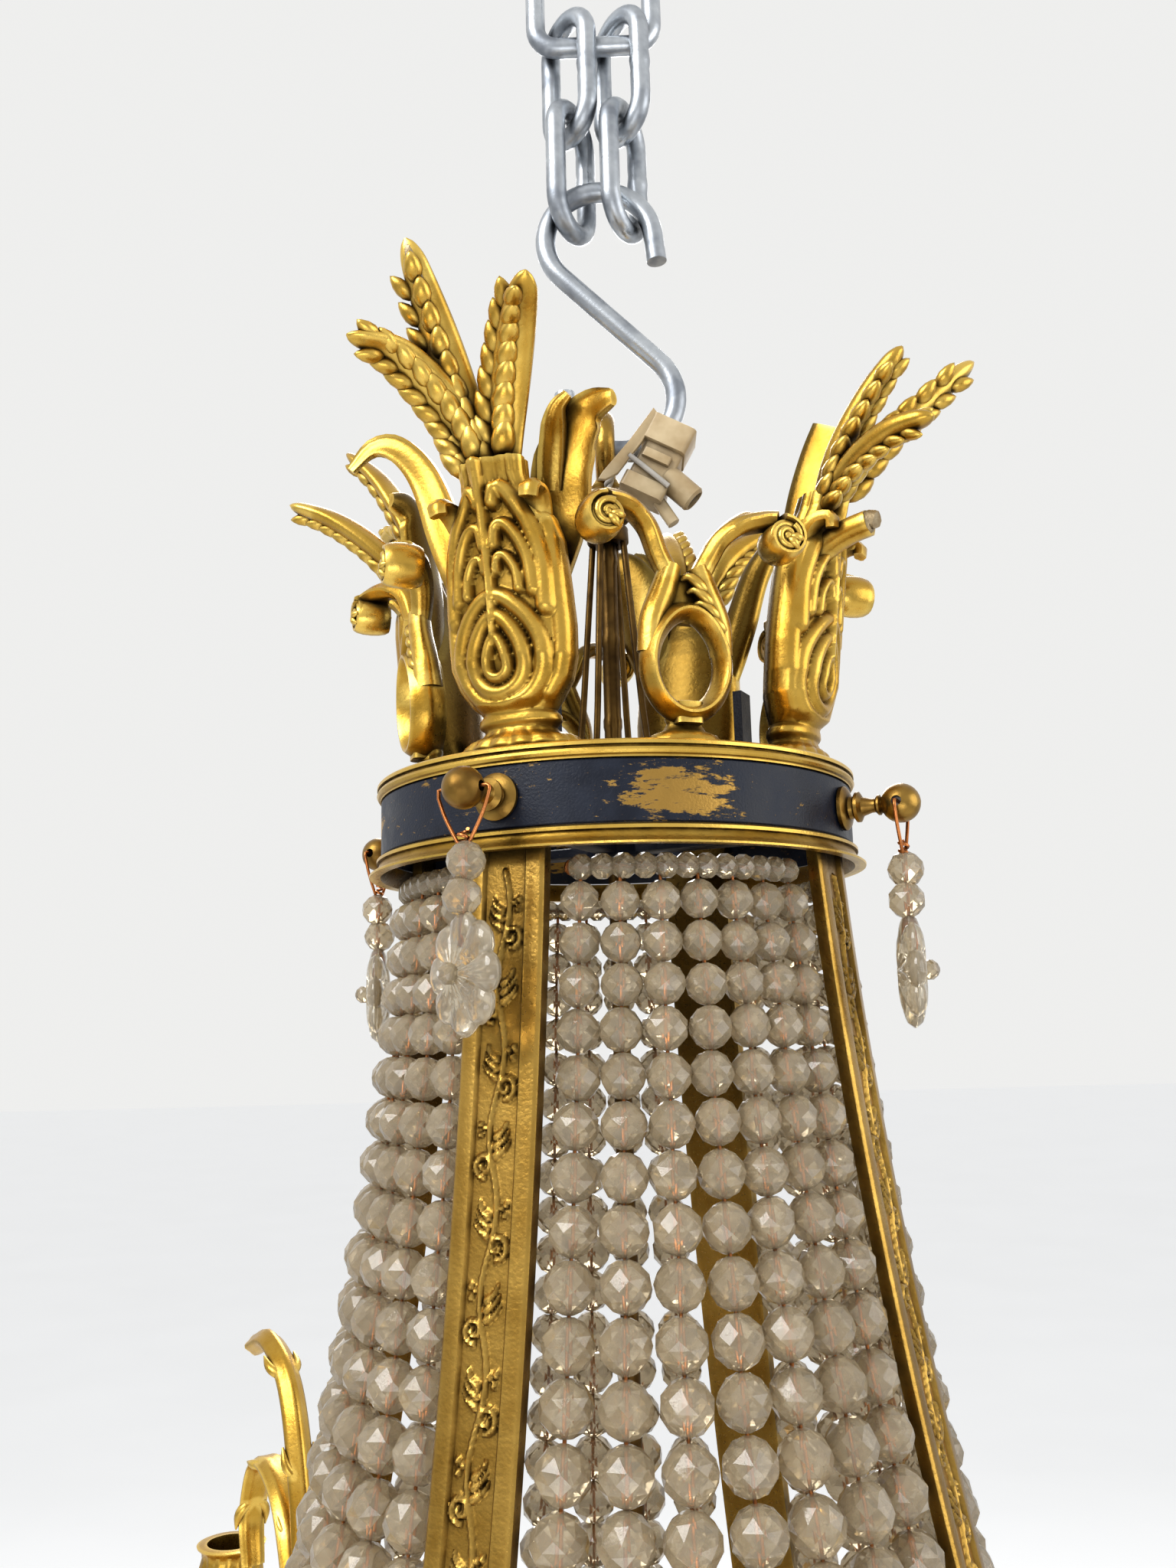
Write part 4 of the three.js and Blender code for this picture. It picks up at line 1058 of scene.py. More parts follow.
@dataclass
class Suspension:
    """The doubled chain, the S-hook, and the eye on the stem."""

    wire: float = 3.0
    link_width: float = 24.0
    link_length: float = 46.0
    top_width: float = 42.0
    top_corner: float = 7.0
    level_turns: tuple[tuple[str, float], ...] = (("upper", -50.0), ("lower", 62.0))
    weld_swell: float = 0.22
    weld_half: float = 1.6
    groove_depth: float = 0.12
    groove_half: float = 0.8
    groove_offset: float = 3.0
    hook_loop: float = 16.25
    hook_centres: float = 51.5
    hook_tilt: float = 5.6
    upper_tail: float = 9.0
    lower_tail: float = 4.0
    eye_radius: float = 9.0
    socket: Route = (
        (0, 1), (2.6, 1), (3.6, 0), (4.4, -1.6), (4.0, -2.4), (5.8, -4), (6.8, -5.6), (6.8, -7), (6.2, -7.4),
        (6.2, -8.2), (6.9, -8.8), (6.9, -11), (6.2, -12), (0, -12),
    )

    def link_route(self, length: float, width: float, corner: float) -> np.ndarray:
        """A link's centre line, closely spaced.

        Args:
            length: The link's length over all.
            width: Its width over all.
            corner: The radius of its bends' centre line.

        Returns:
            Points from the middle of its foot and around.
        """
        across, high = width / 2 - self.wire, length - 2 * self.wire
        bends, lower, upper = [], corner, high - corner
        for side, middle, start in ((1, lower, -90), (1, upper, 0), (-1, upper, 90), (-1, lower, 180)):
            for turn in np.radians(np.linspace(start, start + 90, 9)):
                aside = side * (across - corner) + corner * math.cos(turn)
                bends.append((aside, 0, middle + corner * math.sin(turn)))
        bends = np.array(bends)
        bends = bends[np.r_[True, np.linalg.norm(np.diff(bends, axis=0), axis=1) > NO_LENGTH]]
        route, spacing = [], 1.5
        for a, b in zip(bends, np.roll(bends, -1, 0)):
            steps = max(1, int(np.linalg.norm(b - a) / spacing))
            route.extend(a + (b - a) * k / steps for k in range(steps))
        return np.array(route)

    def link(self, length: float, width: float, corner: float) -> Shape:
        """A welded link standing on its lowest wire, with a slight swelling at its weld.

        Args:
            length: Its length over all.
            width: Its width over all.
            corner: The radius of its bends' centre line.

        Returns:
            The link.
        """
        route = self.link_route(length, width, corner)
        weld_level = length / 2 - self.wire
        away = np.where(route[:, 0] > 0, np.abs(route[:, 2] - weld_level), length)
        swell = self.weld_swell * np.exp(-(away / self.weld_half) ** 2)
        swell -= self.groove_depth * np.exp(-((away - self.groove_offset) / self.groove_half) ** 2)
        last = len(route) - 1
        return tube(route, lambda share: (self.wire + swell[round(share * last)],) * 2, 16, looped=True)

    def build_chain(self) -> None:
        """Puts the top link and the two strands in place."""
        foot, top = levels_of("top_link")
        master = self.link(top - foot, self.top_width, self.top_corner).shifted(0, 0, foot + self.wire)
        show("top_link_wire", master, Finish.ZINC, "top", Station(HANG_AZIMUTH), ["top_link"])
        corner = self.link_width / 2 - self.wire
        for level, turn in self.level_turns:
            shape = self.link(self.link_length, self.link_width, corner).turned("Z", turn + HANG_AZIMUTH)
            for side in ("left", "right"):
                node = f"chain_link_{level}_{side}"
                low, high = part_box(node)
                x, y = (low.x + high.x) / 2 / MM, (low.y + high.y) / 2 / MM
                foot = sum(levels_of(node)) / 2 - self.link_length / 2 + self.wire
                show(f"{node}_wire", shape.shifted(x, y, foot), Finish.ZINC, f"{level}_links", nodes=[node])

    def toward(self, degrees: float) -> np.ndarray:
        """A direction in the hook's plane, counted from its tilted level line."""
        angle = math.radians(degrees + self.hook_tilt)
        return np.array([math.cos(angle), math.sin(angle)])

    def hook_route(self) -> np.ndarray:
        """The S-hook's centre line, from its upper tail to its lower one.

        Returns:
            Points in the hook's plane.
        """
        tail_steps, turn_steps, shank_steps = 4, 37, 14
        bottom = levels_of("s_hook")[0] + self.wire
        aside = self.hook_centres * math.sin(math.radians(self.hook_tilt))
        lower = np.array([aside, bottom + math.sqrt(self.hook_loop ** 2 - aside ** 2)])
        upper = lower + self.hook_centres * self.toward(90)
        wound = 180 + math.degrees(math.asin(2 * self.hook_loop / self.hook_centres))
        angles = np.linspace(0, wound, turn_steps)
        upper_turn = [upper + self.hook_loop * self.toward(a) for a in angles]
        lower_turn = [lower + self.hook_loop * self.toward(180 + a) for a in angles[::-1]]
        start, end = upper_turn[-1], lower_turn[0]
        shares = np.arange(1, tail_steps + 1) / tail_steps
        route = [upper_turn[0] + self.upper_tail * self.toward(-90) * share for share in shares[::-1]]
        route += upper_turn
        route += [start + (end - start) * k / shank_steps for k in range(1, shank_steps)]
        route += lower_turn
        route += [lower_turn[-1] + self.lower_tail * self.toward(90) * share for share in shares]
        return np.array([(x, 0, z) for x, z in route])

    def build_hook(self) -> None:
        """Puts the S-hook in place."""
        shape = tube(self.hook_route(), self.wire, 20)
        show("s_hook_wire", shape, Finish.ZINC, "hook", Station(HANG_AZIMUTH), ["s_hook"], smooth=50)

    def build_eye(self) -> None:
        """Puts the eye and its turned socket on the stem."""
        centre = levels_of("suspension_eye")[1] - self.eye_radius - self.wire + 0.2
        turns = np.radians(np.arange(0, 360, 9))
        ring = [(0, self.eye_radius * math.cos(t), centre + self.eye_radius * math.sin(t)) for t in turns]
        eye = tube(np.array(ring), self.wire - 0.1, 16, ALONG, looped=True)
        socket = lathe(raised(self.socket, centre - self.eye_radius), 40)
        show("suspension_eye_ring", gather([eye, socket]), Finish.GILT_WORN, station=Station(HANG_AZIMUTH),
             nodes=["suspension_eye"], smooth=50)

    def build(self) -> None:
        """Builds the whole suspension."""
        self.build_chain()
        self.build_hook()
        self.build_eye()


@dataclass
class Wiring:
    """The ivory terminal block and the lead into it."""

    offset: Point = (12.0, -20.5, 107.0)
    turn: float = 28.0
    lid: BoxRow = ((13.0, 13.0, 8.0), 1.4, (6.0, 0.0, 1.0))
    waist: BoxRow = ((11.4, 10.6, 12.0), 1.2, (6.4, 0.4, -8.0))
    foot: BoxRow = ((12.5, 11.0, 4.6), 1.2, (6.2, 0.0, -15.2))
    ledge: BoxRow = ((8.0, 2.4, 2.6), 0.6, (6.0, -5.2, -6.6))
    lug: BoxRow = ((3.4, 3.4, 8.0), 1.2, (14.6, -1.0, -18.2))
    lug_aim: Point = (0.86, 0.0, -0.51)
    turret_place: Point = (11.2, -1.6, -9.4)
    turret_aim: Point = (0.96, 0.0, -0.28)
    turret: Route = ((0, -1), (3.75, -1), (3.75, 8.6), (3.15, 9.3), (2.75, 9.3), (2.65, 7.0), (0, 7.0))
    screw: Route = ((0, 6.8), (2.2, 6.8), (2.2, 8.0), (1.8, 8.4), (0, 8.4))
    cheek: Route = (
        (-1.0, 5.6), (0.8, 4.6), (0.6, -4.4), (-1.4, -15.6), (-3.6, -18.6), (-5.4, -19.4), (-5.2, -17.0),
        (-2.8, -6.0),
    )
    cheek_levels: Route = ((-6.4, 0.92), (-6.2, 1.0), (-4.9, 1.0), (-4.7, 0.92))
    core: Route = ((-0.9, -6.0, -9.6), (3.6, -6.2, -10.7), (12.6, -5.8, -12.9))
    core_radius: float = 0.75
    lead: Route = (
        (0, -7.4, 93.3), (0, -10, 93.2), (0, -15, 93.4), (1.4, -18, 96), (2.9, -19, 99.6),
        (5.0, -19.2, 101.4), (7.6, -19.4, 100.6),
    )
    lead_radius: float = 0.62
    lead_turns: float = 3.0

    def seated(self, shape: Shape) -> Shape:
        """A shape of the block, leant over and put in the block's place."""
        return shape.turned("Y", self.turn).shifted(*self.offset)

    def cheek_shape(self) -> Shape:
        """The thin cheek that reaches down on the block's left.

        Returns:
            The cheek, before the block is leant over.
        """
        x_mid, z_mid = np.mean(self.cheek, axis=0)
        rings = [
            [(x_mid + (x - x_mid) * share, y, z_mid + (z - z_mid) * share) for x, z in self.cheek]
            for y, share in self.cheek_levels
        ]
        return skin(np.array(rings))

    def build_block(self) -> None:
        """Builds the block with its lid, its recess, its screw turret and its lug."""
        station = Station(HANG_AZIMUTH)
        parts = [rounded_box(size, radius).shifted(*place)
                 for size, radius, place in (self.lid, self.waist, self.foot, self.ledge)]
        parts.append(lathe(self.turret, 36).aimed(self.turret_aim).shifted(*self.turret_place))
        size, radius, place = self.lug
        parts.append(rounded_box(size, radius).aimed(self.lug_aim).shifted(*place))
        shape, node = self.seated(gather([*parts, self.cheek_shape()])), "terminal_block"
        show(f"{node}_moulding", shape, Finish.IVORY, station=station, nodes=[node], smooth=40)
        core = self.seated(tube(np.array(self.core), self.core_radius, 12))
        show("terminal_core", core, Finish.LEAD, station=station, smooth=60)
        screw = self.seated(lathe(self.screw, 24).aimed(self.turret_aim).shifted(*self.turret_place))
        show("terminal_screw", screw, Finish.ZINC, station=station, smooth=40)

    def build_lead(self) -> None:
        """Builds the twisted pair between the eye's socket and the block."""
        base = smooth_route(self.lead, 44)
        pair = []
        for phase in (0, math.pi):
            wind = np.linspace(0, 2 * math.pi * self.lead_turns, len(base)) + phase
            offset = np.column_stack([np.cos(wind), 0.5 * np.sin(wind), np.sin(wind)]) * self.lead_radius
            pair.append(tube(base + offset, self.lead_radius, 8, (0.9, 0, -0.45)))
        show("lead_pair", gather(pair), Finish.LEAD, station=Station(HANG_AZIMUTH), nodes=["lead"], smooth=60)

    def build(self) -> None:
        """Builds the wiring."""
        self.build_block()
        self.build_lead()


@dataclass
class CrownRing:
    """The painted band between its two moulded borders."""

    radius: float = 64.3
    facets: int = 180
    top: Route = (
        (-18, 1, -2.8), (-2, 0, 0), (0.2, 0, 0), (0.2, 0, 0.5), (0.8, 0, 0.8), (1.2, 0, 1.5), (0.9, 0, 2.2),
        (0.3, 0, 2.4), (0.3, 0, 2.8), (1.1, 0, 3.0), (1.1, 1, -0.4), (0.7, 1, 0), (-18, 1, 0),
    )
    bottom: Route = (
        (-2, 1, 0), (0.3, 1, 0), (1.2, 1, -0.5), (1.2, 1, -1.3), (0.5, 1, -1.6), (0.7, 1, -2.3),
        (1.5, 0, 1.5), (2.6, 0, 0.9), (3.2, 0, 0.5), (3.1, 0, 0), (2.4, 0, 0), (0.2, 0, 0),
    )

    def build(self) -> None:
        """Builds the band and its borders."""
        for node, part, rows, finish in (
            ("crown_band", "paint", BAND_PROFILE, Finish.BAND),
            ("crown_border_top", "moulding", self.top, Finish.GILT),
            ("crown_border_bottom", "moulding", self.bottom, Finish.GILT),
        ):
            shape = lathe(between(rows, self.radius, node), self.facets)
            show(f"{node}_{part}", shape, finish, nodes=[node], smooth=30)


@dataclass
class Palmette:
    """A cast leaf shield with a bundle of wheat ears and two side leaves.

    Routes are rows of along, outward and up from the middle of its foot. The shield's levels are rows of
    height, half width, half depth and how far its middle stands out.
    """

    foot_radius: float = 52.0
    foot_height: float = 12.3
    levels: Route = (
        (0, 16.2, 8.6, 0), (1.2, 16.6, 8.8, 0), (3.2, 14.9, 7.9, 0), (4.6, 10.4, 6.3, 0.2),
        (6, 9.4, 5.9, 0.3), (7.4, 11.2, 6.6, 0.5), (8.8, 11, 6.5, 0.6), (10, 9.8, 6.0, 0.8),
        (13, 12.3, 6.6, 1), (17, 15.2, 7.1, 1.4), (22.4, 17.0, 7.5, 2.5), (30, 17.3, 7.5, 3.2),
        (36.4, 17.0, 7.5, 4), (44, 16.6, 7.3, 5), (50.4, 16.2, 7.1, 6), (56, 14.6, 6.7, 7.2),
        (60, 11.6, 6.3, 8.2), (63.5, 9.0, 6, 9.2), (67, 8.2, 5.6, 10.6), (71, 8.6, 5.4, 12),
    )
    foot_top: float = 10.0
    foot_flutes: float = 8.5
    flute_depth: float = 0.8
    flute_end: float = 6.2
    stalk_count: int = 5
    stalk_depth: float = 0.9
    stalk_start: float = 60.0
    relief_spread: float = 0.35
    drops: Route = ((2.8, 17.6, 27.5, 1.7), (7.2, 13.9, 32.6, 2.35), (11.9, 10.6, 37.6, 2.35))
    drop_offset: float = -1.0
    midrib: Route = ((-1.0, 28), (-1.0, 40), (-1.4, 52), (-2.4, 70))
    crooks: tuple[tuple[Route, float, float], ...] = (
        (((13.2, 34), (12.9, 45), (10.2, 54.5), (6.2, 61.5), (3.4, 63.4), (2.0, 60.2)), 2.7, 3.2),
        (((10.6, 38), (9.6, 46), (6.9, 52), (4.2, 54.6), (2.2, 53.6), (1.5, 49.6)), 2.2, 2.9),
        (((7.2, 38.6), (6.6, 43), (4.4, 46.6), (2.4, 46.6), (1.4, 43.4)), 1.7, 2.6),
    )
    crook_offset: float = -0.8
    lobe_route: Route = ((8, 5, 50.4), (12, 12, 60.2), (13, 17.5, 61.2), (12.6, 17.8, 58.5))
    left_leaf: LeafRow = (
        ((-9, 3, 36), (-17, 4, 56), (-24.5, 4, 75), (-31.5, 6, 84), (-38.5, 8, 85.5), (-44, 11, 79.5)),
        (5.2, 5.4, 5.1, 4.3, 3.3, 1.3), 3.0, 0.2,
    )
    broad_leaf: LeafRow = (
        ((9, 1, 42), (12.5, 0, 58), (14.0, 1, 70), (17.0, 1, 79), (22, 1, 85.0), (29, 3, 86.0)),
        (5.6, 7.2, 8.2, 8.4, 6.4, 2.2), 2.8, 0.15,
    )
    curl: LeafRow = (
        ((10.4, 1, 66), (12.0, 2.4, 77), (14.0, 4, 85.6), (17.6, 5, 88.8)), (3.4, 3.8, 3.4, 1.4), 2.2, 0.2,
    )
    tall_leaf: Route = ((11, 1, 38), (16, 0, 60), (19, 2, 78), (20, 6, 92), (20, 10, 101))
    stalk: Route = ((-5, 6, 50), (-6, 12, 55), (-8, 20, 58.2), (-9, 26.5, 59.4))
    stump: Route = ((-8.9, 25.6, 59.2), (-9, 27.2, 59.8), (-9.2, 28.6, 59.4))
    ear_feet: Route = ((-2, 10, 65), (-1, 10, 65), (1.5, 10, 65))
    ears: tuple[tuple[Route, Route, Route], ...] = (
        (
            ((-9, 17, 84), (-17.5, 30, 97.5), (-24, 42, 98.5)),
            ((-7, 15, 85), (-10.5, 24, 106), (-12, 35, 124)),
            ((4.5, 15, 82), (12, 24, 97), (22, 36, 105)),
        ),
        (
            ((-8, 22, 75), (-15, 35, 80), (-20, 47, 80)),
            ((-5, 18, 80), (-9, 29, 94), (-12, 39, 104)),
            ((6, 24, 84), (13, 39, 99), (20, 51, 111)),
        ),
        (
            ((-9, 17, 84), (-17, 30, 96), (-25, 43, 98)),
            ((-6, 17, 84), (-9, 28, 100), (-12, 40, 110)),
            ((6, 15, 82), (13, 26, 97), (20, 38, 107)),
        ),
        (
            ((-9, 17, 84), (-17, 30, 96), (-25, 43, 98)),
            ((-4, 18, 88), (-5, 30, 108), (-5, 44, 122)),
            ((8, 22, 80), (14, 34, 90), (20, 47, 96)),
        ),
    )
    grain_rows: tuple[int, ...] = (8, 7, 8, 8)
    grain_columns: Route = ((0.0, 0.5, 0.16, 2.2, 0.7), (0.5, -0.3, 0.24, -0.4, 1.5))
    grain: Route = ((0, 0), (1.5, 0.8), (2.45, 2.4), (2.75, 4.4), (2.2, 6.6), (1.1, 8.4), (0, 9.4))
    rubbed: tuple[int, ...] = (1, 2, 0, 2)
    broken_side: str = "right"

    def drop(self, wide: float, low: float, high: float, thick: float) -> Stroke:
        """One of the nested drops, rounder below than above.

        Args:
            wide: Its half width.
            low: Its lowest level.
            high: Its highest level.
            thick: Half the width of its line.

        Returns:
            The raised line.
        """
        turn = np.linspace(-np.pi / 2, 1.5 * np.pi, 48)
        middle = low + wide * 1.02
        stretch = np.where(np.sin(turn) > 0, high - middle, middle - low)
        narrow = 1 - 0.28 * np.clip(np.sin(turn), 0, 1) ** 2
        aside = self.drop_offset + wide * np.cos(turn) * narrow
        return Stroke(np.column_stack([aside, middle + np.sin(turn) * stretch]), thick, 2.4, 1.0)

    def strokes(self) -> list[Stroke]:
        """The carved lines on the shield's outer face.

        Returns:
            The raised lines.
        """
        lines = [self.drop(*row) for row in self.drops]
        lines.append(Stroke(np.array(self.midrib), 1.3, 3.0, 1.5))
        for side in (-1, 1):
            for route, wide, high in self.crooks:
                crook = [(side * aside + self.crook_offset, level) for aside, level in route]
                lines.append(Stroke(smooth_route(crook, 26), wide, high, 0.8))
            edge = [(side * row[1] * 0.9, row[0]) for row in self.levels if row[0] > self.foot_top]
            lines.append(Stroke(smooth_route(edge, 30), 2.2, 2.2, 1.0))
        return lines

    def body(self) -> Shape:
        """The shield with its carving, its fluted foot and its neck of stalks.

        Returns:
            The closed shield.
        """
        sides, rows, table = 168, 170, np.array(self.levels)
        heights = np.linspace(0, table[-1, 0], rows)
        angles = 2 * np.pi * np.arange(sides) / sides
        cosine, sine = np.cos(angles)[None, :], np.sin(angles)[None, :]
        half, deep, out = (np.interp(heights, table[:, 0], table[:, k])[:, None] for k in (1, 2, 3))
        z = np.repeat(heights[:, None], sides, 1)
        front = np.clip(sine * 3, 0, 1) * np.clip((z - self.foot_top + 1) / 3, 0, 1)
        relief = carved(half * cosine, z, self.strokes()) * front
        flutes = self.flute_depth * np.abs(np.sin(self.foot_flutes * angles))[None, :]
        flutes = flutes * np.clip((self.flute_end - z) / 3, 0, 1) * np.clip(z / 1.5, 0, 1)
        stalks = self.stalk_depth * np.abs(np.sin(self.stalk_count * angles))[None, :]
        stalks = stalks * np.clip((z - self.stalk_start) / 6, 0, 1)
        grow = relief + flutes + stalks
        x = half * cosine + cosine * grow * self.relief_spread
        return skin(np.dstack([x, -(out + (deep + grow) * sine), z]))

    def blade(self, route: Route, widths: Sequence[float], thick: float, cup: float) -> Shape:
        """A leaf blade, cupped across, with raised edges and a midrib on its outer face.

        Args:
            route: Its middle line as along, outward and up.
            widths: Half its width, evenly spaced along it.
            thick: Its thickness.
            cup: How far its edges stand out, as a share of its half width.

        Returns:
            The closed blade.
        """
        steps, outward = 36, np.array(OUTWARD, float)
        path = bend(route, steps)
        along = unit(np.gradient(path, axis=0))
        wide = unit(np.cross(along, outward))
        deep = np.cross(wide, along)
        deep *= np.sign(deep @ outward)[:, None]
        half = np.interp(np.linspace(0, 1, steps), np.linspace(0, 1, len(widths)), widths)
        share = np.linspace(-1, 1, 17)
        relief = 0.35 * np.cos(math.pi * share) + 0.5 * np.abs(share) ** 6
        rings = []
        for i in range(steps):
            middle = path[i] + np.outer(share * half[i], wide[i])
            hollow, fade = cup * half[i] * share ** 2, min(1, half[i] / 3)
            face = hollow + (relief + 0.5 * thick) * fade
            back = hollow - 0.5 * thick * fade * np.sqrt(1.02 - share ** 2)
            back_line = middle + np.outer(back, deep[i])
            rings.append(np.vstack([middle + np.outer(face, deep[i]), back_line[::-1]]))
        return skin(np.array(rings))

    def grain_shape(self) -> Shape:
        """One husked grain with a crease, its foot at the origin and its tip up."""
        crease = lambda turn, share: 1 - 0.25 * np.exp(-((turn - np.pi / 2) / 0.5) ** 2)
        return lathe(self.grain, 12, crease).scaled(1, 0.85, 1)

    def swell(self, share: float) -> float:
        """The husk's thickness along an ear, rounded off at its tip."""
        closing = max(0, (share - 0.9) / 0.1)
        return math.sin(math.pi * (0.16 + 0.66 * share)) * math.sqrt(max(0.02, 1 - closing ** 2))

    def ear(self, route: Route, rows: int) -> tuple[Shape, Shape]:
        """A wheat ear: a smooth husk leaf with plump grains along its left and its face.

        Args:
            route: Its middle line as along, outward and up, from foot to tip.
            rows: Rows of grains.

        Returns:
            The ear, and its rubbed tip.
        """
        path = bend(route, 61)
        first, last, full_length = 6, 53, 52.0
        length = float(np.linalg.norm(np.diff(path, axis=0), axis=1).sum())
        husk_path = path + np.array(at(0.9, -0.4, 0))
        husk_size = lambda s: (5.1 * self.swell(s), 3.2 * self.swell(s))
        parts, grain = [tube(husk_path, husk_size, 18, ALONG, section=fluted(3, 0.07))], self.grain_shape()
        for i in range(rows):
            size = (1.12 - 0.30 * i / rows) * min(1.0, length / full_length)
            for later, lean, rise, beside, before in self.grain_columns:
                k = int(first + (i + later) * (last - first) / rows)
                along = unit(path[k + 1] - path[k - 1])
                aside = unit(np.cross(along, np.array((0, 1, 0))))
                front = np.cross(along, aside)
                place = path[k] + (beside * aside + before * front) * size
                aim = along + lean * aside + rise * front
                parts.append(grain.scaled(size, size, size).aimed(aim).shifted(*place))
        tip_size = lambda s: (4.1 * self.swell(0.82 + 0.17 * s), 3.0 * self.swell(0.82 + 0.17 * s))
        tip = tube(husk_path[50:60] + np.array(at(0, 0.2, 0)), tip_size, 16, ALONG)
        return gather(parts), tip

    def lobe(self, side: int) -> Shape:
        """The rolled lobe on one shoulder."""
        size = tapered((4.6, 3.0), (2.4, 1.6))
        return tube(bend(self.lobe_route, 22, side), size, 14, ALONG, section=fluted(5, 0.08))

    def broken_parts(self) -> tuple[list[Shape], Shape]:
        """The tall leaf and the broken stalk of the palmette that lost a leaf.

        Returns:
            The leaf and the stalk, and the bare end of that stalk.
        """
        tall_size = lambda s: (5.2 + 0.8 * math.sin(math.pi * s), 1.9 - 0.5 * s)
        tall = tube(bend(self.tall_leaf, 30), tall_size, 20, OUTWARD, section=fluted(2, 0.12))
        size = tapered((3.8, 3.5), (3.6, 3.4))
        stalk = tube(bend(self.stalk, 16), size, 14, ALONG, section=fluted(5, 0.06))
        size = tapered((3.5, 3.2), (2.4, 2.2))
        stump = tube(bend(self.stump, 5), size, 9, ALONG, section=fluted(3, 0.12))
        return [tall, stalk], stump

    def build(self) -> None:
        """Builds the four palmettes: on the right-hand one the left leaf is broken off."""
        common = [self.body(), self.lobe(-1), self.lobe(1)]
        whole = [self.blade(*row) for row in (self.broad_leaf, self.curl, self.left_leaf)]
        broken, stump = self.broken_parts()
        for i, side in enumerate(SIDE_NAMES):
            routes = [(foot, *rest) for foot, rest in zip(self.ear_feet, self.ears[i])]
            grown = [self.ear(route, self.grain_rows[i]) for route in routes]
            leaves = broken if side == self.broken_side else whole
            bare = [grown[self.rubbed[i]][1]] + ([stump] if side == self.broken_side else [])
            station, place = Station(90 * i), (0, -self.foot_radius, self.foot_height)
            shape = gather([*common, *leaves, *(ear for ear, _ in grown)]).shifted(*place)
            node = f"palmette_{side}"
            show(f"{node}_casting", shape, Finish.GILT, station=station, nodes=[node], smooth=50)
            show(f"{node}_rubbed_tips", gather(bare).shifted(*place), Finish.BARE, station=station, smooth=60)


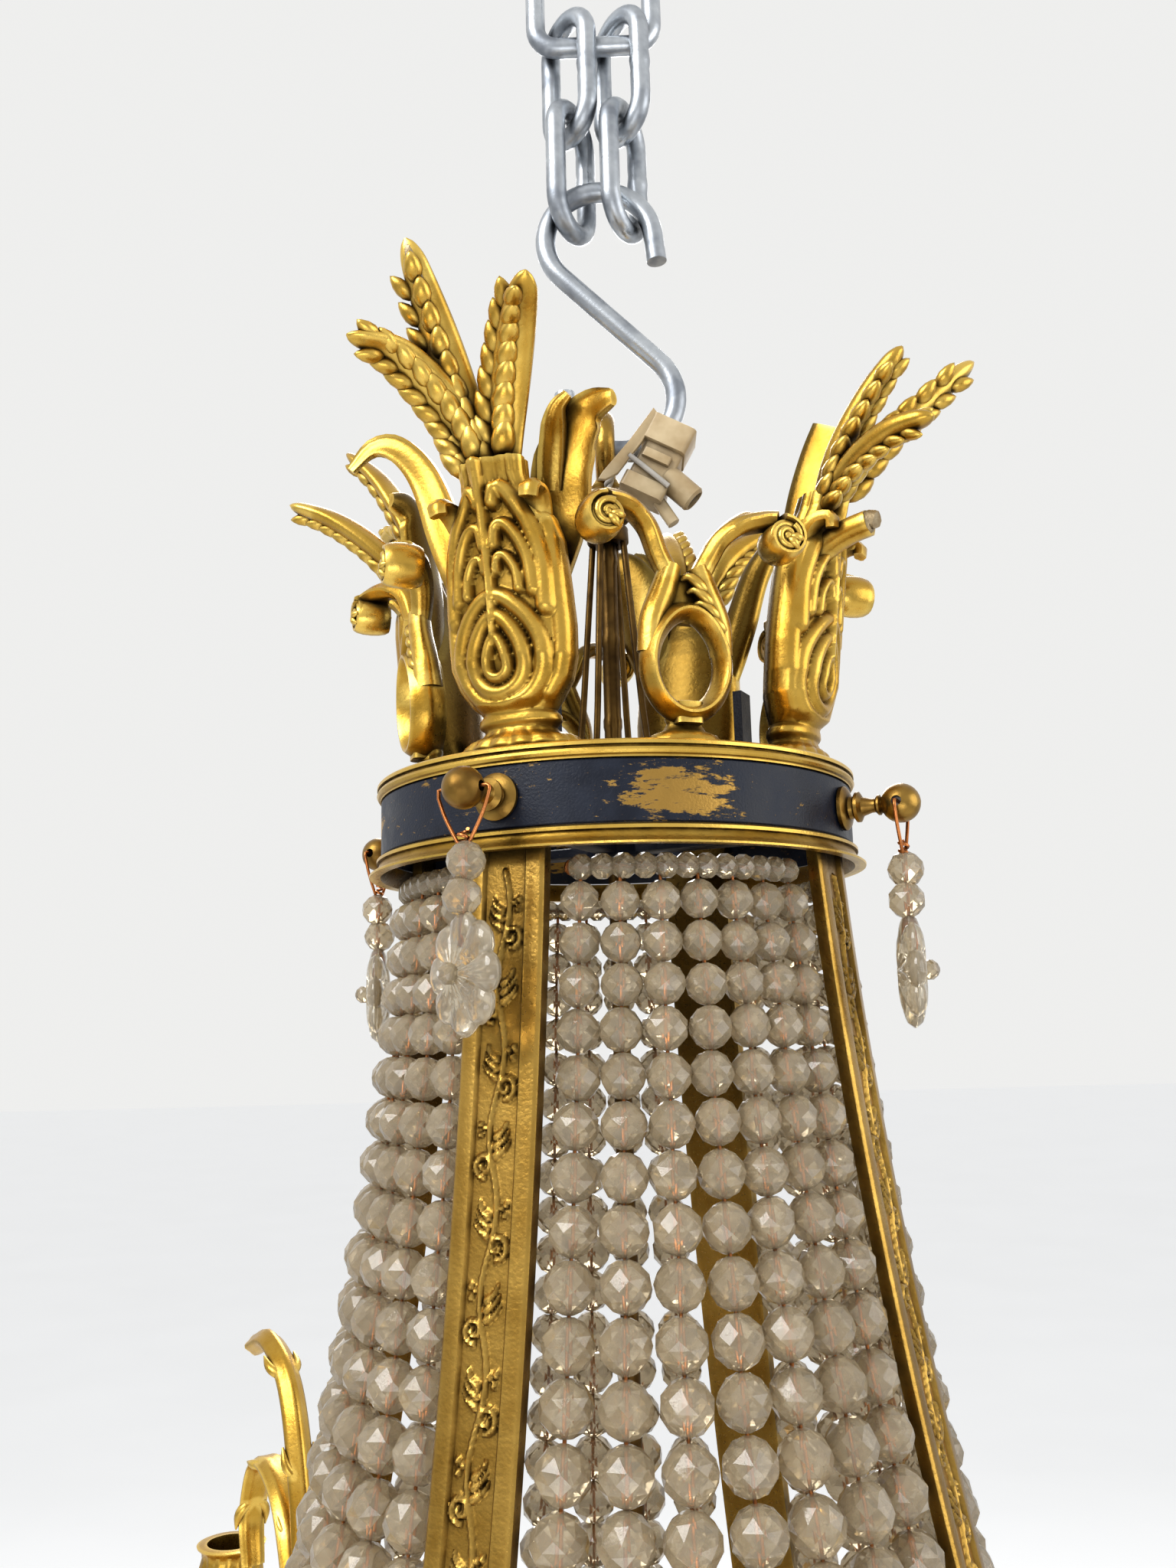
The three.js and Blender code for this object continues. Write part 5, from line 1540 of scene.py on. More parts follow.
@dataclass
class ScrollLoop:
    """A pierced teardrop that splits into two arms, each ending in a volute.

    Routes are rows of along, outward and up from the middle of its foot.
    """

    foot_radius: float = 52.0
    foot_height: float = 12.3
    foot: Route = ((0, 0), (9, 0), (9.2, 1.2), (8.2, 3), (5.4, 4.2), (4.4, 6), (5.0, 7.2), (4.4, 8.6), (0, 9))
    neck: BoxRow = ((7.0, 6.4, 5.6), 1.6, (0.0, -2.0, 8.2))
    ring_half: tuple[float, float] = (9.8, 12.8)
    ring_middle: float = 20.8
    ring_wire: tuple[float, float] = (4.08, 2.108)
    ring_lean: float = 1.4
    ring_narrowing: float = 0.14
    web: Route = ((0, 1.6, 31), (0, 2.0, 36), (0, 2.4, 43))
    strap_route: Route = ((9.6, 2.4, 23), (8.6, 3.2, 31), (5.6, 3.8, 39), (3.6, 3.8, 45))
    rib_count: int = 4
    rib_route: Route = ((1.4, 4.0, -1.5), (-0.6, 6.2, 0), (-3.6, 5.6, 2.6), (-5.2, 4.4, 2.2))
    arm_foot: Route = ((3.6, 3.4, 42), (6.8, 3.6, 48))
    arm_arch: Route = ((9.6, 4.6, -3.4), (14.0, 7, -0.3), (19.0, 10, 0.4))
    arm_rise: float = 5.2
    volutes: tuple[tuple[int, float, float], ...] = ((-1, 24.0, 52.2), (1, 22.4, 50.8))
    barrel: Route = ((0, -4.9), (3.4, -4.7), (4.3, -4.0), (4.3, 4.0), (3.4, 4.7), (0, 4.9))
    fleck_route: Route = ((0.6, 0, 0), (2.2, 1.0, 0.4), (3.9, 0.2, 1.2))
    fleck_turns: tuple[float, ...] = (24, 68)

    def teardrop(self) -> Shape:
        """The bevelled ring of the teardrop, narrower and further out at its top.

        Returns:
            The ring.
        """
        points, foot_out = 72, 2
        turn = 2 * np.pi * np.arange(points) / points - np.pi / 2
        rise = (np.sin(turn) + 1) / 2
        half, high = self.ring_half
        along = half * (1 - self.ring_narrowing * rise ** 3) * np.cos(turn)
        out = foot_out + self.ring_lean * rise
        route = np.column_stack([along, -out, self.ring_middle + high * np.sin(turn)])
        return tube(route, lambda s: self.ring_wire, 24, OUTWARD, True, bevelled(0.20))

    def straps(self) -> list[Shape]:
        """The two leafy straps above the ring, the web between them, and their ribs.

        Returns:
            The straps, the web and the ribs.
        """
        strap_size = lambda s: (3.5 - 0.8 * s, 2.6 + 0.5 * math.sin(math.pi * s))
        parts = [
            tube(bend(self.strap_route, 22, side), strap_size, 18, OUTWARD, section=bevelled(0.12))
            for side in (-1, 1)
        ]
        parts.append(tube(bend(self.web, 10), tapered((6.4, 1.7), (2.4, 1.7)), 14, ALONG))
        for k in range(self.rib_count):
            lift, wide = 29.5 + 3.3 * k, 8.6 - 1.5 * k
            route = [(wide + u, n, lift + z) for u, n, z in self.rib_route]
            parts.append(tube(bend(route, 12), spindle(1.25, 0.2), 8))
        return parts

    def arm(self, side: int, along: float, up: float) -> list[Shape]:
        """One arm that arches aside to its barrel-shaped volute.

        Args:
            side: -1 for the left arm and 1 for the right one.
            along: How far aside the volute's middle lies.
            up: The level of the volute's middle.

        Returns:
            The arm, its scroll, the barrel with its eye, and the leafwork on its end.
        """
        out, end_out, top = 12, 16.7, up + self.arm_rise
        arch = [(u, n, top + z) for u, n, z in self.arm_arch]
        route = bend([*self.arm_foot, *arch, (along, out, top)], 36, side)
        arm = tube(route, tapered((2.6, 2.6), (4.0, 2.2)), 20, OUTWARD, section=fluted(6, 0.08))
        wound = [at(u, out, z) for u, z in spiral((side * along, up), 5.2, 1.4, 90, -side * 1.7)]
        scroll = tube(np.array(wound), tapered((5.2, 1.5), (4.8, 1.1)), 14, OUTWARD)
        solid = [shape.turned("X", 90).shifted(*at(side * along, out, up))
                 for shape in (lathe(self.barrel, 32), round_bead(2.3, 2.5, 16))]
        curl = [at(u, end_out, z) for u, z in spiral((side * along, up), 3.3, 0.8, 60, -side * 1.35)]
        ridge = tube(np.array(curl), tapered((1.15, 0.95), (0.7, 0.65)), 10, OUTWARD)
        fleck = tube(bend(self.fleck_route, 8), spindle(1.0, 0.15), 8)
        place = at(side * along, end_out - 0.3, up)
        flecks = [fleck.turned("Y", turn).shifted(*place) for turn in self.fleck_turns]
        return [arm, scroll, *solid, ridge, *flecks]

    def build(self) -> None:
        """Builds the four scroll loops between the palmettes."""
        notched = lambda turn, share: 1 + 0.05 * np.abs(np.cos(7 * turn)) * (share < 0.5)
        foot = lathe(self.foot, 40, notched).scaled(1, 0.66, 1)
        size, radius, place = self.neck
        parts = [foot, rounded_box(size, radius).shifted(*place), self.teardrop(), *self.straps()]
        for volute in self.volutes:
            parts += self.arm(*volute)
        shape = gather(parts).shifted(0, -self.foot_radius, self.foot_height)
        for i, side in enumerate(SIDE_NAMES):
            node = f"scroll_loop_{side}"
            show(f"{node}_casting", shape, Finish.GILT, station=Station(90 * i + 45), nodes=[node], smooth=50)


@dataclass
class Studs:
    """The drilled studs on the band, and the glass pendants that hang in them."""

    band: float = 64.6
    length: float = 15.0
    ball: float = 5.0
    hole: float = 1.3
    wire: float = 0.45
    bead: float = 4.6
    rosette: float = 14.0
    petals: int = 8
    petal_dome: float = 3.2
    petal_crease: float = 1.1
    petal_vein: float = 0.5
    twist_radius: float = 1.1
    turns: tuple[float, ...] = (-28.0, 20.0, 10.0, 30.0)
    neck: Route = (
        (0, 0), (1.14, 0), (1.14, 0.9), (1.0, 1.5), (0.62, 2.1), (0.56, 3.0), (0.78, 3.7), (0.78, 4.5),
        (0.5, 5.3), (0.36, 7.6), (0.36, 8.6), (0.52, 9.3), (0.52, 9.8), (0.42, 10.2),
    )
    loop_side: Route = ((1.0, -2), (0.7, -7))
    loop_foot: Route = ((1.0, -13.4), (0.2, -15), (-1.0, -13.4))

    def stud(self) -> Shape:
        """The turned stud, pointing out.

        Returns:
            The stud, in its place on the band.
        """
        r, c = self.ball, self.length
        profile = [(r * wide, z) for wide, z in self.neck]
        profile += [(r * math.sin(t), c - r * math.cos(t)) for t in np.linspace(0.46, 2.98, 14)]
        profile += [(r * 0.12, c + r), (0, c + r)]
        return lathe(profile, 36).turned("X", 90).shifted(*at(0, self.band, 0))

    def drilled(self) -> Shape:
        """The stud with its hole cut through the ball.

        Returns:
            The drilled stud.
        """
        deep = 8
        drill = lathe([(0, -deep), (self.hole, -deep), (self.hole, deep), (0, deep)], 20).turned("Y", 90)
        drill = drill.shifted(*at(0, self.band + self.length, 0))
        body, tool = (bpy.data.objects.new("stud", bpy.data.meshes.new("stud")) for _ in range(2))
        for item, shape in ((body, self.stud()), (tool, drill)):
            item.data.from_pydata(shape.points.tolist(), [], shape.faces)
            bpy.context.scene.collection.objects.link(item)
        cut = body.modifiers.new("hole", "BOOLEAN")
        cut.object = tool
        cut.solver = "EXACT"
        graph = bpy.context.evaluated_depsgraph_get()
        mesh = bpy.data.meshes.new_from_object(body.evaluated_get(graph))
        points = np.array([v.co for v in mesh.vertices])
        shape = Shape(points, [tuple(p.vertices) for p in mesh.polygons])
        for item in (body, tool):
            bpy.data.objects.remove(item)
        return shape

    def petal_disc(self) -> Shape:
        """The moulded rosette: petals around a button, domed on both faces.

        Returns:
            The rosette, about its middle.
        """
        turn = 2 * np.pi * np.arange(96) / 96
        inward = np.linspace(0, 1, 12)
        lobes = np.abs(np.cos(self.petals / 2 * turn))
        edge = self.rosette * (0.84 + 0.16 * lobes ** 0.7)
        rings = []
        for face, shares in ((1, inward), (-1, inward[::-1])):
            for share in shares:
                radius = edge * (0.06 + 0.94 * share)
                dome = self.petal_dome * math.sqrt(max(0, 1 - share ** 3)) + 0.25
                crease = self.petal_crease * (1 - lobes) * math.sin(math.pi * share)
                vein = self.petal_vein * np.abs(np.cos(self.petals * 2 * turn)) * math.sin(math.pi * share)
                thick = dome - crease - vein
                rings.append(np.column_stack([radius * np.cos(turn), -face * thick, radius * np.sin(turn)]))
        return skin(np.array(rings), looped=True)

    def hanging_wires(self, reach: float, flower: float) -> Shape:
        """The wire loop through the stud, its twisted neck and the wire that holds the beads.

        Args:
            reach: How far from the stem the pendant hangs.
            flower: The level of the rosette's middle.

        Returns:
            The wires.
        """
        side = self.ball + 1.6
        route = [at(share * side, reach, 0) for share in (-1, -0.5, 0.5, 1)]
        route += [at(share * side, reach, z) for share, z in self.loop_side]
        route += [at(u, reach, z) for u, z in self.loop_foot]
        route += [at(-share * side, reach, z) for share, z in self.loop_side[::-1]]
        loop = tube(smooth_route(route, 60), self.wire, 8, OUTWARD, looped=True)
        steps, wide = 30, self.twist_radius
        turn = np.linspace(0, 5 * math.pi, steps)
        twist = [wide * np.cos(turn), -reach + wide * np.sin(turn), np.linspace(-9.5, -14.5, steps)]
        stem = np.array([at(0, reach, -14), at(0.3, reach, -22), at(-0.3, reach, flower + 6)])
        neck = tube(np.column_stack(twist), self.wire, 6, UPWARD)
        return gather([loop, neck, tube(stem, self.wire, 8, OUTWARD)])

    def build(self) -> None:
        """Builds the studs and the pendants."""
        stud, disc = self.drilled(), self.petal_disc()
        reach = self.band + self.length
        first = -14 - self.bead * 0.6
        second = first - self.bead * 1.7
        flower = second - self.bead * 0.7 - self.rosette
        wires = self.hanging_wires(reach, flower)
        beads = [cut_bead(self.bead).shifted(*at(0.6, reach, first)),
                 cut_bead(self.bead).turned("Z", 20).shifted(*at(-0.6, reach, second))]
        button = cut_bead(2.6).turned("X", 90).shifted(*at(0, 4.2, 0))
        pin = tube(np.array([at(0, 5.6, 0), at(0, 6.6, 0)]), 0.8, 10, ALONG)
        for i, side in enumerate(SIDE_NAMES):
            station, node, body = Station(90 * i), f"stud_{side}", f"pendant_{side}"
            show(f"{node}_turning", stud, Finish.BRONZE, station=station, nodes=[node], smooth=40)
            turn, place = self.turns[i], at(0, reach, flower)
            flat, knob, peg = (shape.turned("Z", turn).shifted(*place) for shape in (disc, button, pin))
            show(f"{body}_rosette", flat, Finish.PRESSED, body, station, [body], smooth=40)
            show(f"{body}_beads", gather([*beads, knob]), Finish.GLASS, body, station, smooth=None)
            show(f"{body}_wire", gather([wires, peg]), Finish.COPPER, body, station, smooth=60)


@dataclass
class Cage:
    """The curved staves and the bead curtains between them."""

    ring_bore: float = 62.3
    gap: float = 0.3
    ring_bottom: float = -12.8
    flare: float = 0.0763
    curve: float = 0.0004
    width: float = 20.5
    thickness: float = 3.6
    flange: float = 4.4
    recess: float = 1.2
    strands: int = 7
    beads: int = 19
    top_bead: float = 4.8
    foot_bead: float = 7.2
    row_bead: float = 3.2
    row_count: int = 12
    string_wire: float = 0.45
    rail_wires: tuple[float, float] = (0.5, 0.6)
    rail_ring: float = 1.6
    inset: float = 5.4
    rail_drop: float = 4.0
    sway: float = 0.12
    tilt: float = 4.0
    leaf_pitch: float = 17.0
    stem_reach: float = 1.43
    berries: Route = ((3.6, 6.4), (2.6, 8.0), (3.9, 8.6))

    def radius(self, z: float) -> float:
        """The stave's outer radius at a height."""
        drop = max(0.0, self.ring_bottom - z)
        return self.ring_bore * math.cos(math.pi / 36) - self.gap + self.flare * drop + self.curve * drop ** 2

    def leaf_strokes(self, low: float, high: float) -> list[Stroke]:
        """A scrolling stem with leaves and berries, up the whole panel.

        Args:
            low: The panel's lowest level.
            high: Its highest level.

        Returns:
            The raised lines.
        """
        heights = np.arange(low + 3, high - 3, 1.5)
        stem = np.column_stack([self.stem_reach * np.sin(np.pi * heights / self.leaf_pitch), heights])
        lines = [Stroke(stem, 0.75, 0.95, 1.0)]
        for i, z in enumerate(np.arange(low + 8, high - 10, self.leaf_pitch)):
            side = 1 if i % 2 else -1
            lines.append(Stroke(spiral((side * 2.2, z), 2.7, 0.7, -90, side * 1.25), 0.8, 1.15, 0.8))
            for k in range(3):
                base = np.array((side * -0.5, z + 2 + 2.0 * k))
                tip = np.array((side * -(3.9 - 0.5 * k), z + 5.2 + 2.0 * k))
                bulge = (base + tip) / 2 - (side * 0.6, 0)
                lines.append(Stroke(smooth_route((base, bulge, tip), 7), 1.05, 1.05, 0.3))
            for u, rise in self.berries:
                berry = np.array([(side * u, z + rise), (side * u, z + rise + 0.05)])
                lines.append(Stroke(berry, 0.8, 1.1, 1.0))
        return lines

    def stave(self, low: float, high: float) -> Shape:
        """The curved stave, with its relief in the sunk panel.

        Args:
            low: Its lowest level.
            high: Its highest level.

        Returns:
            The stave.
        """
        half, inner = self.width / 2, self.width / 2 - self.flange
        steps = [inner - 0.5, inner, inner + 0.5, half - 1.0, half - 0.5, half]
        panel = np.linspace(-inner + 0.8, inner - 0.8, 26)
        across = np.unique(np.r_[[-u for u in steps], panel, steps])
        corners = [0, inner - 0.8, inner, inner + 0.5, half - 1.0, half - 0.5, half]
        depth = np.interp(np.abs(across), corners, [-self.recess, -self.recess, -0.1, 0, 0, -0.1, -0.6])
        heights = np.linspace(low, high, int((high - low) / 0.55))
        u, z = np.meshgrid(across, heights)
        relief = carved(u, z, self.leaf_strokes(low, min(high, self.ring_bottom))) * (np.abs(u) < inner - 0.7)
        limit = self.radius(levels_of("lower_border_top")[1])
        radius = np.array([min(self.radius(h), limit) for h in heights])[:, None]
        outer = np.sqrt(radius ** 2 - u ** 2) + depth[None, :] + relief
        back = np.sqrt(radius ** 2 - u ** 2) - self.thickness
        back_side = np.dstack([u, -back, z])[:, ::-1][:, ::6]
        return skin(np.concatenate([np.dstack([u, -outer, z]), back_side], axis=1))

    def half_angle(self, z: float, bead: float) -> float:
        """Half the angle that the strings may span between two staves.

        Args:
            z: The level.
            bead: The radius of the beads there.

        Returns:
            Degrees off the curtain's middle.
        """
        taken = math.asin((self.width / 2 + bead + 1) / (self.radius(z) - self.inset))
        return 45 - math.degrees(taken)

    def on_curtain(self, z: float, angle: float) -> np.ndarray:
        """A point of the curtain at a height and an angle off its middle."""
        reach, a = self.radius(z) - self.inset, math.radians(angle)
        return np.array(at(reach * math.sin(a), reach * math.cos(a), z))

    def string(self, across: float, ends: Route, rng: np.random.Generator) -> tuple[list[Shape], Shape]:
        """One string of beads, small at its top and large at its foot.

        Args:
            across: Its place from -1 at one stave to 1 at the other.
            ends: The level and half angle of the curtain's top and of its foot.
            rng: What the beads' small shifts and turns are drawn from.

        Returns:
            The beads, and the wire through them.
        """
        (top, top_half), (foot, foot_half) = ends
        sizes = np.linspace(self.top_bead, self.foot_bead, self.beads)
        steps = sizes / sizes.sum() * (top - foot - 7)
        z, beads, line = top - 3.5, [], [self.on_curtain(top, across * top_half)]
        for size, step in zip(sizes, steps):
            z -= step / 2
            share = (top - z) / (top - foot)
            angle = across * (top_half + (foot_half - top_half) * share)
            place = self.on_curtain(z, angle) + rng.normal(0, self.sway, 3)
            bead = cut_bead(min(size, step / 2)).turned("Z", rng.uniform(0, 45))
            bead = bead.turned("X", rng.normal(0, self.tilt)).turned("Y", rng.normal(0, self.tilt))
            beads.append(bead.shifted(*place))
            line.append(place)
            z -= step / 2
        line.append(self.on_curtain(foot, across * foot_half))
        return beads, tube(np.array(line), self.string_wire, 6, (1, 0.2, 0))

    def rail(self, z: float, half: float, radius: float) -> list[Shape]:
        """A wire rail across the curtain, with a small ring at each end.

        Args:
            z: Its level.
            half: Half the angle that it spans.
            radius: Its wire's radius.

        Returns:
            The rail and its rings.
        """
        route = np.array([self.on_curtain(z, a) for a in np.linspace(-half, half, 30)])
        parts = [tube(route, radius, 8, UPWARD)]
        turns = np.linspace(0, 2 * np.pi, 14, endpoint=False)
        ring = self.rail_ring * np.column_stack([np.cos(turns), np.zeros(len(turns)), np.sin(turns)])
        for end in (-half, half):
            parts.append(tube(self.on_curtain(z, end) + ring, self.rail_wires[0], 6, looped=True))
        return parts

    def curtain(self, rng: np.random.Generator) -> tuple[Shape, Shape]:
        """One curtain between two staves.

        Args:
            rng: What the beads' small shifts and turns are drawn from.

        Returns:
            Its beads with the level row at the top, and its wires.
        """
        top, foot = self.ring_bottom - self.rail_drop, levels_of("lower_border_top")[1] + self.rail_drop
        top_half, foot_half = self.half_angle(top, 5.2), self.half_angle(foot, 8.0)
        glass, wires = [], []
        for across in np.linspace(-1, 1, self.strands):
            beads, wire = self.string(across, ((top, top_half), (foot, foot_half)), rng)
            glass += beads
            wires.append(wire)
        thin, thick = self.rail_wires
        wires += self.rail(top, top_half + 2, thin) + self.rail(foot, foot_half + 1, thick)
        for angle in np.linspace(-top_half, top_half, self.row_count):
            bead = cut_bead(self.row_bead).turned("X", 90).turned("Z", angle + 90)
            glass.append(bead.shifted(*self.on_curtain(top, angle)))
        return gather(glass), gather(wires)

    def build(self) -> None:
        """Builds the four staves and the four curtains."""
        stave = self.stave(*levels_of("stave_front"))
        for i, side in enumerate(SIDE_NAMES):
            node, station = f"stave_{side}", Station(90 * i + 45)
            show(f"{node}_relief", stave, Finish.GILT_WORN, station=Station(90 * i), nodes=[node], smooth=40)
            glass, wires = self.curtain(np.random.default_rng(CURTAIN_SEED + i))
            node = f"bead_curtain_{side}"
            show(f"curtain_{side}_beads", glass, Finish.GLASS, station=station, nodes=[node], smooth=None)
            show(f"curtain_{side}_wires", wires, Finish.COPPER, station=station, smooth=60)


@dataclass
class Core:
    """The stem, and the crossbars and rods that tie the rings to it."""

    stem: float = 2.65
    joint_groove: float = 0.25
    joint_pitch: float = 24.0
    bore: float = 2.95
    hub: float = 8.0
    bar: float = 7.0
    crown_levels: tuple[float, float] = (-7.0, -4.0)
    crown_reach: float = 57.0
    lower_reach: float = 102.5
    upright_place: float = 38.5
    upright_top: float = 34.0
    upright_half: tuple[float, float] = (3.5, 1.25)
    rod: float = 0.95
    rod_foot: float = 14.0
    collar: Route = ((2.95, -5), (5.6, -5), (6, -4.4), (6, -0.6), (5.6, 0), (2.95, 0))

    def cross(self, low: float, high: float, reach: float, turn: float) -> list[Shape]:
        """A hub with four flat bars.

        Args:
            low: The bars' lowest level.
            high: Their highest level.
            reach: How far they reach from the stem.
            turn: The first bar's turn about the stem in degrees.

        Returns:
            The hub and the bars.
        """
        edge = self.hub - 0.6
        parts = [lathe([(self.bore, low - 1), (edge, low - 1), (self.hub, low - 0.5), (self.hub, high + 0.5),
                        (edge, high + 1), (self.bore, high + 1)], 40)]
        spine = np.array([at(0, r, (low + high) / 2) for r in np.linspace(self.hub - 1, reach, 12)])
        half = (self.bar / 2, (high - low) / 2)
        bar = tube(spine, lambda s: half, 24, ALONG, section=squared)
        return [*parts, *(bar.turned("Z", turn + 90 * i) for i in range(4))]

    def build_stem(self) -> None:
        """Builds the stem from its grooved lengths."""
        bottom, top = levels_of("central_stem")
        thin, profile = self.stem - self.joint_groove, [(0, bottom), (self.stem, bottom)]
        for z in np.arange(bottom + 6, top - 6, self.joint_pitch):
            profile += [(thin, z), (thin, z + 20), (self.stem, z + 21), (self.stem, z + 23)]
        profile += [(self.stem, top), (0, top)]
        # The stem takes the darkened bronze: painted shade inside the cage.
        show("central_stem_tube", lathe(profile, 28), Finish.DARK_BRONZE, nodes=["central_stem"], smooth=40)

    def build(self) -> None:
        """Builds the stem, both crossbars and the stays."""
        self.build_stem()
        low, high = self.crown_levels
        bars, top = self.cross(low, high, self.crown_reach, 0), levels_of("crown_cross")[1]
        stays = [lathe(raised(self.collar, top), 32)]
        spine = np.array([at(0, self.upright_place, z) for z in np.linspace(low, self.upright_top, 10)])
        upright = tube(spine, lambda s: self.upright_half, 20, ALONG, section=squared)
        stay = np.array([at(0, self.rod_foot, low + 1.2), at(0, 9.2, 35), at(0, 4.6, top - 1.2)])
        stay = tube(stay, self.rod, 12, ALONG)
        for i in range(4):
            bars.append(upright.turned("Z", 90 * i))
            stays.append(stay.turned("Z", 90 * i))
        show("crown_cross_bars", gather(bars), Finish.IRON, nodes=["crown_cross"], smooth=30)
        # The stays take the darkened bronze: painted shade inside the crown.
        show("crown_cross_stays", gather(stays), Finish.DARK_BRONZE, smooth=40)
        low, high = levels_of("lower_cross")
        bars = self.cross(low + 1, high - 1, self.lower_reach, 45)
        show("lower_cross_bars", gather(bars), Finish.IRON, nodes=["lower_cross"], smooth=30)


@dataclass
class LowerRing:
    """The wide ring that carries the arms, and the bead sac with its finial."""

    facets: int = 180
    border: Route = (
        (-2, 0, 0), (0.8, 0, 0), (1.6, 0, 0.6), (1.6, 0, 1.4), (0.9, 0, 1.9), (0.9, 0, 2.3), (1.4, 0, 2.8),
        (1.2, 0, 3.6), (0.6, 1, 0), (-2, 1, 0),
    )
    sac_radius: float = 99.825
    sac_strings: int = 36
    sac_rows: int = 8
    sac_mouth: float = 9.0
    sac_bulge: float = 3.0
    sac_rim: float = 1.2
    bead_depth: float = 0.62
    bead_overlap: tuple[float, float] = (1.03, 1.04)
    sac_wire: float = 0.5
    wire_inset: float = 6.0
    finial: Route = (
        (0, 0), (7.6, 0), (8, -0.8), (9.4, -1.4), (10.9, -3), (9.6, -4.4), (5.4, -5.6), (4.9, -7),
        (6.4, -8.4), (8.4, -12), (7.9, -15), (6.6, -17.4), (3.4, -19.4), (2.3, -20.6), (2.6, -22),
        (1.6, -23.6), (0, -24),
    )

    def build_ring(self) -> None:
        """Builds the painted band and its two borders."""
        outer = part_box("lower_band")[1].x / MM
        band = lathe(between(BAND_PROFILE, outer, "lower_band"), self.facets)
        show("lower_band_paint", band, Finish.IRON, nodes=["lower_band"], smooth=30)
        for name in ("top", "bottom"):
            node = f"lower_border_{name}"
            shape = lathe(between(self.border, outer, node, name == "bottom"), self.facets)
            show(f"{node}_moulding", shape, Finish.GILT, nodes=[node], smooth=30)

    def sac_place(self, turn: float, share: float, inset: float) -> np.ndarray:
        """A point of the sac.

        Args:
            turn: Degrees around the stem.
            share: Its share of the way down.
            inset: How far it lies inside the sac's swell.

        Returns:
            The point.
        """
        bottom, top = levels_of("bead_sac")
        closing = math.pi / 2 - math.asin(self.sac_mouth / self.sac_radius)
        angle, a = closing * share, math.radians(turn)
        reach = (self.sac_radius + self.sac_bulge - inset) * math.cos(angle)
        depth = (top - bottom - self.sac_rim - inset) * math.sin(angle)
        return np.array((reach * math.sin(a), -reach * math.cos(a), top - depth))

    def sac_row(self, row: int) -> list[Shape]:
        """The beads of one row, with several in a cell that is longer than it is wide.

        Args:
            row: The row, counted from the ring.

        Returns:
            The beads.
        """
        pitch, lift = 360 / self.sac_strings, 1 / self.sac_rows
        middle = self.sac_place(0, (row + 0.5) * lift, 0)
        wide = math.pi * math.hypot(middle[0], middle[1]) / self.sac_strings
        tall = 0.5 * np.linalg.norm(self.sac_place(0, (row + 1) * lift, 0) - self.sac_place(0, row * lift, 0))
        count = max(1, round(tall / wide))
        bead = cut_bead(1.0).turned("Z", 22.5)
        across, along = self.bead_overlap
        bead = bead.scaled(wide * across, self.bead_depth * wide, tall / count * along)
        beads = []
        for k in range(self.sac_strings):
            turn = (k + 0.5) * pitch
            for part in range(count):
                share = (row + (part + 0.5) / count) * lift
                place = self.sac_place(turn, share, self.bead_depth * wide)
                beads.append(bead.turned("X", 90 * share).turned("Z", turn).shifted(*place))
        return beads

    def build_sac(self) -> None:
        """Builds the gathered strings of beads that close the lower ring."""
        glass, wires = [], []
        for row in range(self.sac_rows):
            glass += self.sac_row(row)
        for k in range(0, self.sac_strings, 2):
            turn = (k + 0.5) * 360 / self.sac_strings
            a = math.radians(turn)
            route = [self.sac_place(turn, share, self.wire_inset) for share in np.linspace(0.01, 0.98, 16)]
            wires.append(tube(np.array(route), self.sac_wire, 6, (math.cos(a), math.sin(a), 0)))
        show("bead_sac_beads", gather(glass), Finish.GLASS, nodes=["bead_sac"], smooth=None)
        show("bead_sac_wires", gather(wires), Finish.COPPER, smooth=60)

    def build_finial(self) -> None:
        """Builds the turned finial under the sac."""
        lobed = lambda turn, share: 1 - 0.05 * np.abs(np.sin(6 * turn)) * (0.45 < share < 0.8)
        shape = lathe(raised(self.finial, levels_of("finial")[1]), 48, lobed)
        show("finial_turning", shape, Finish.GILT, nodes=["finial"], smooth=40)

    def build(self) -> None:
        """Builds the lower ring and what hangs in it."""
        self.build_ring()
        self.build_sac()
        self.build_finial()


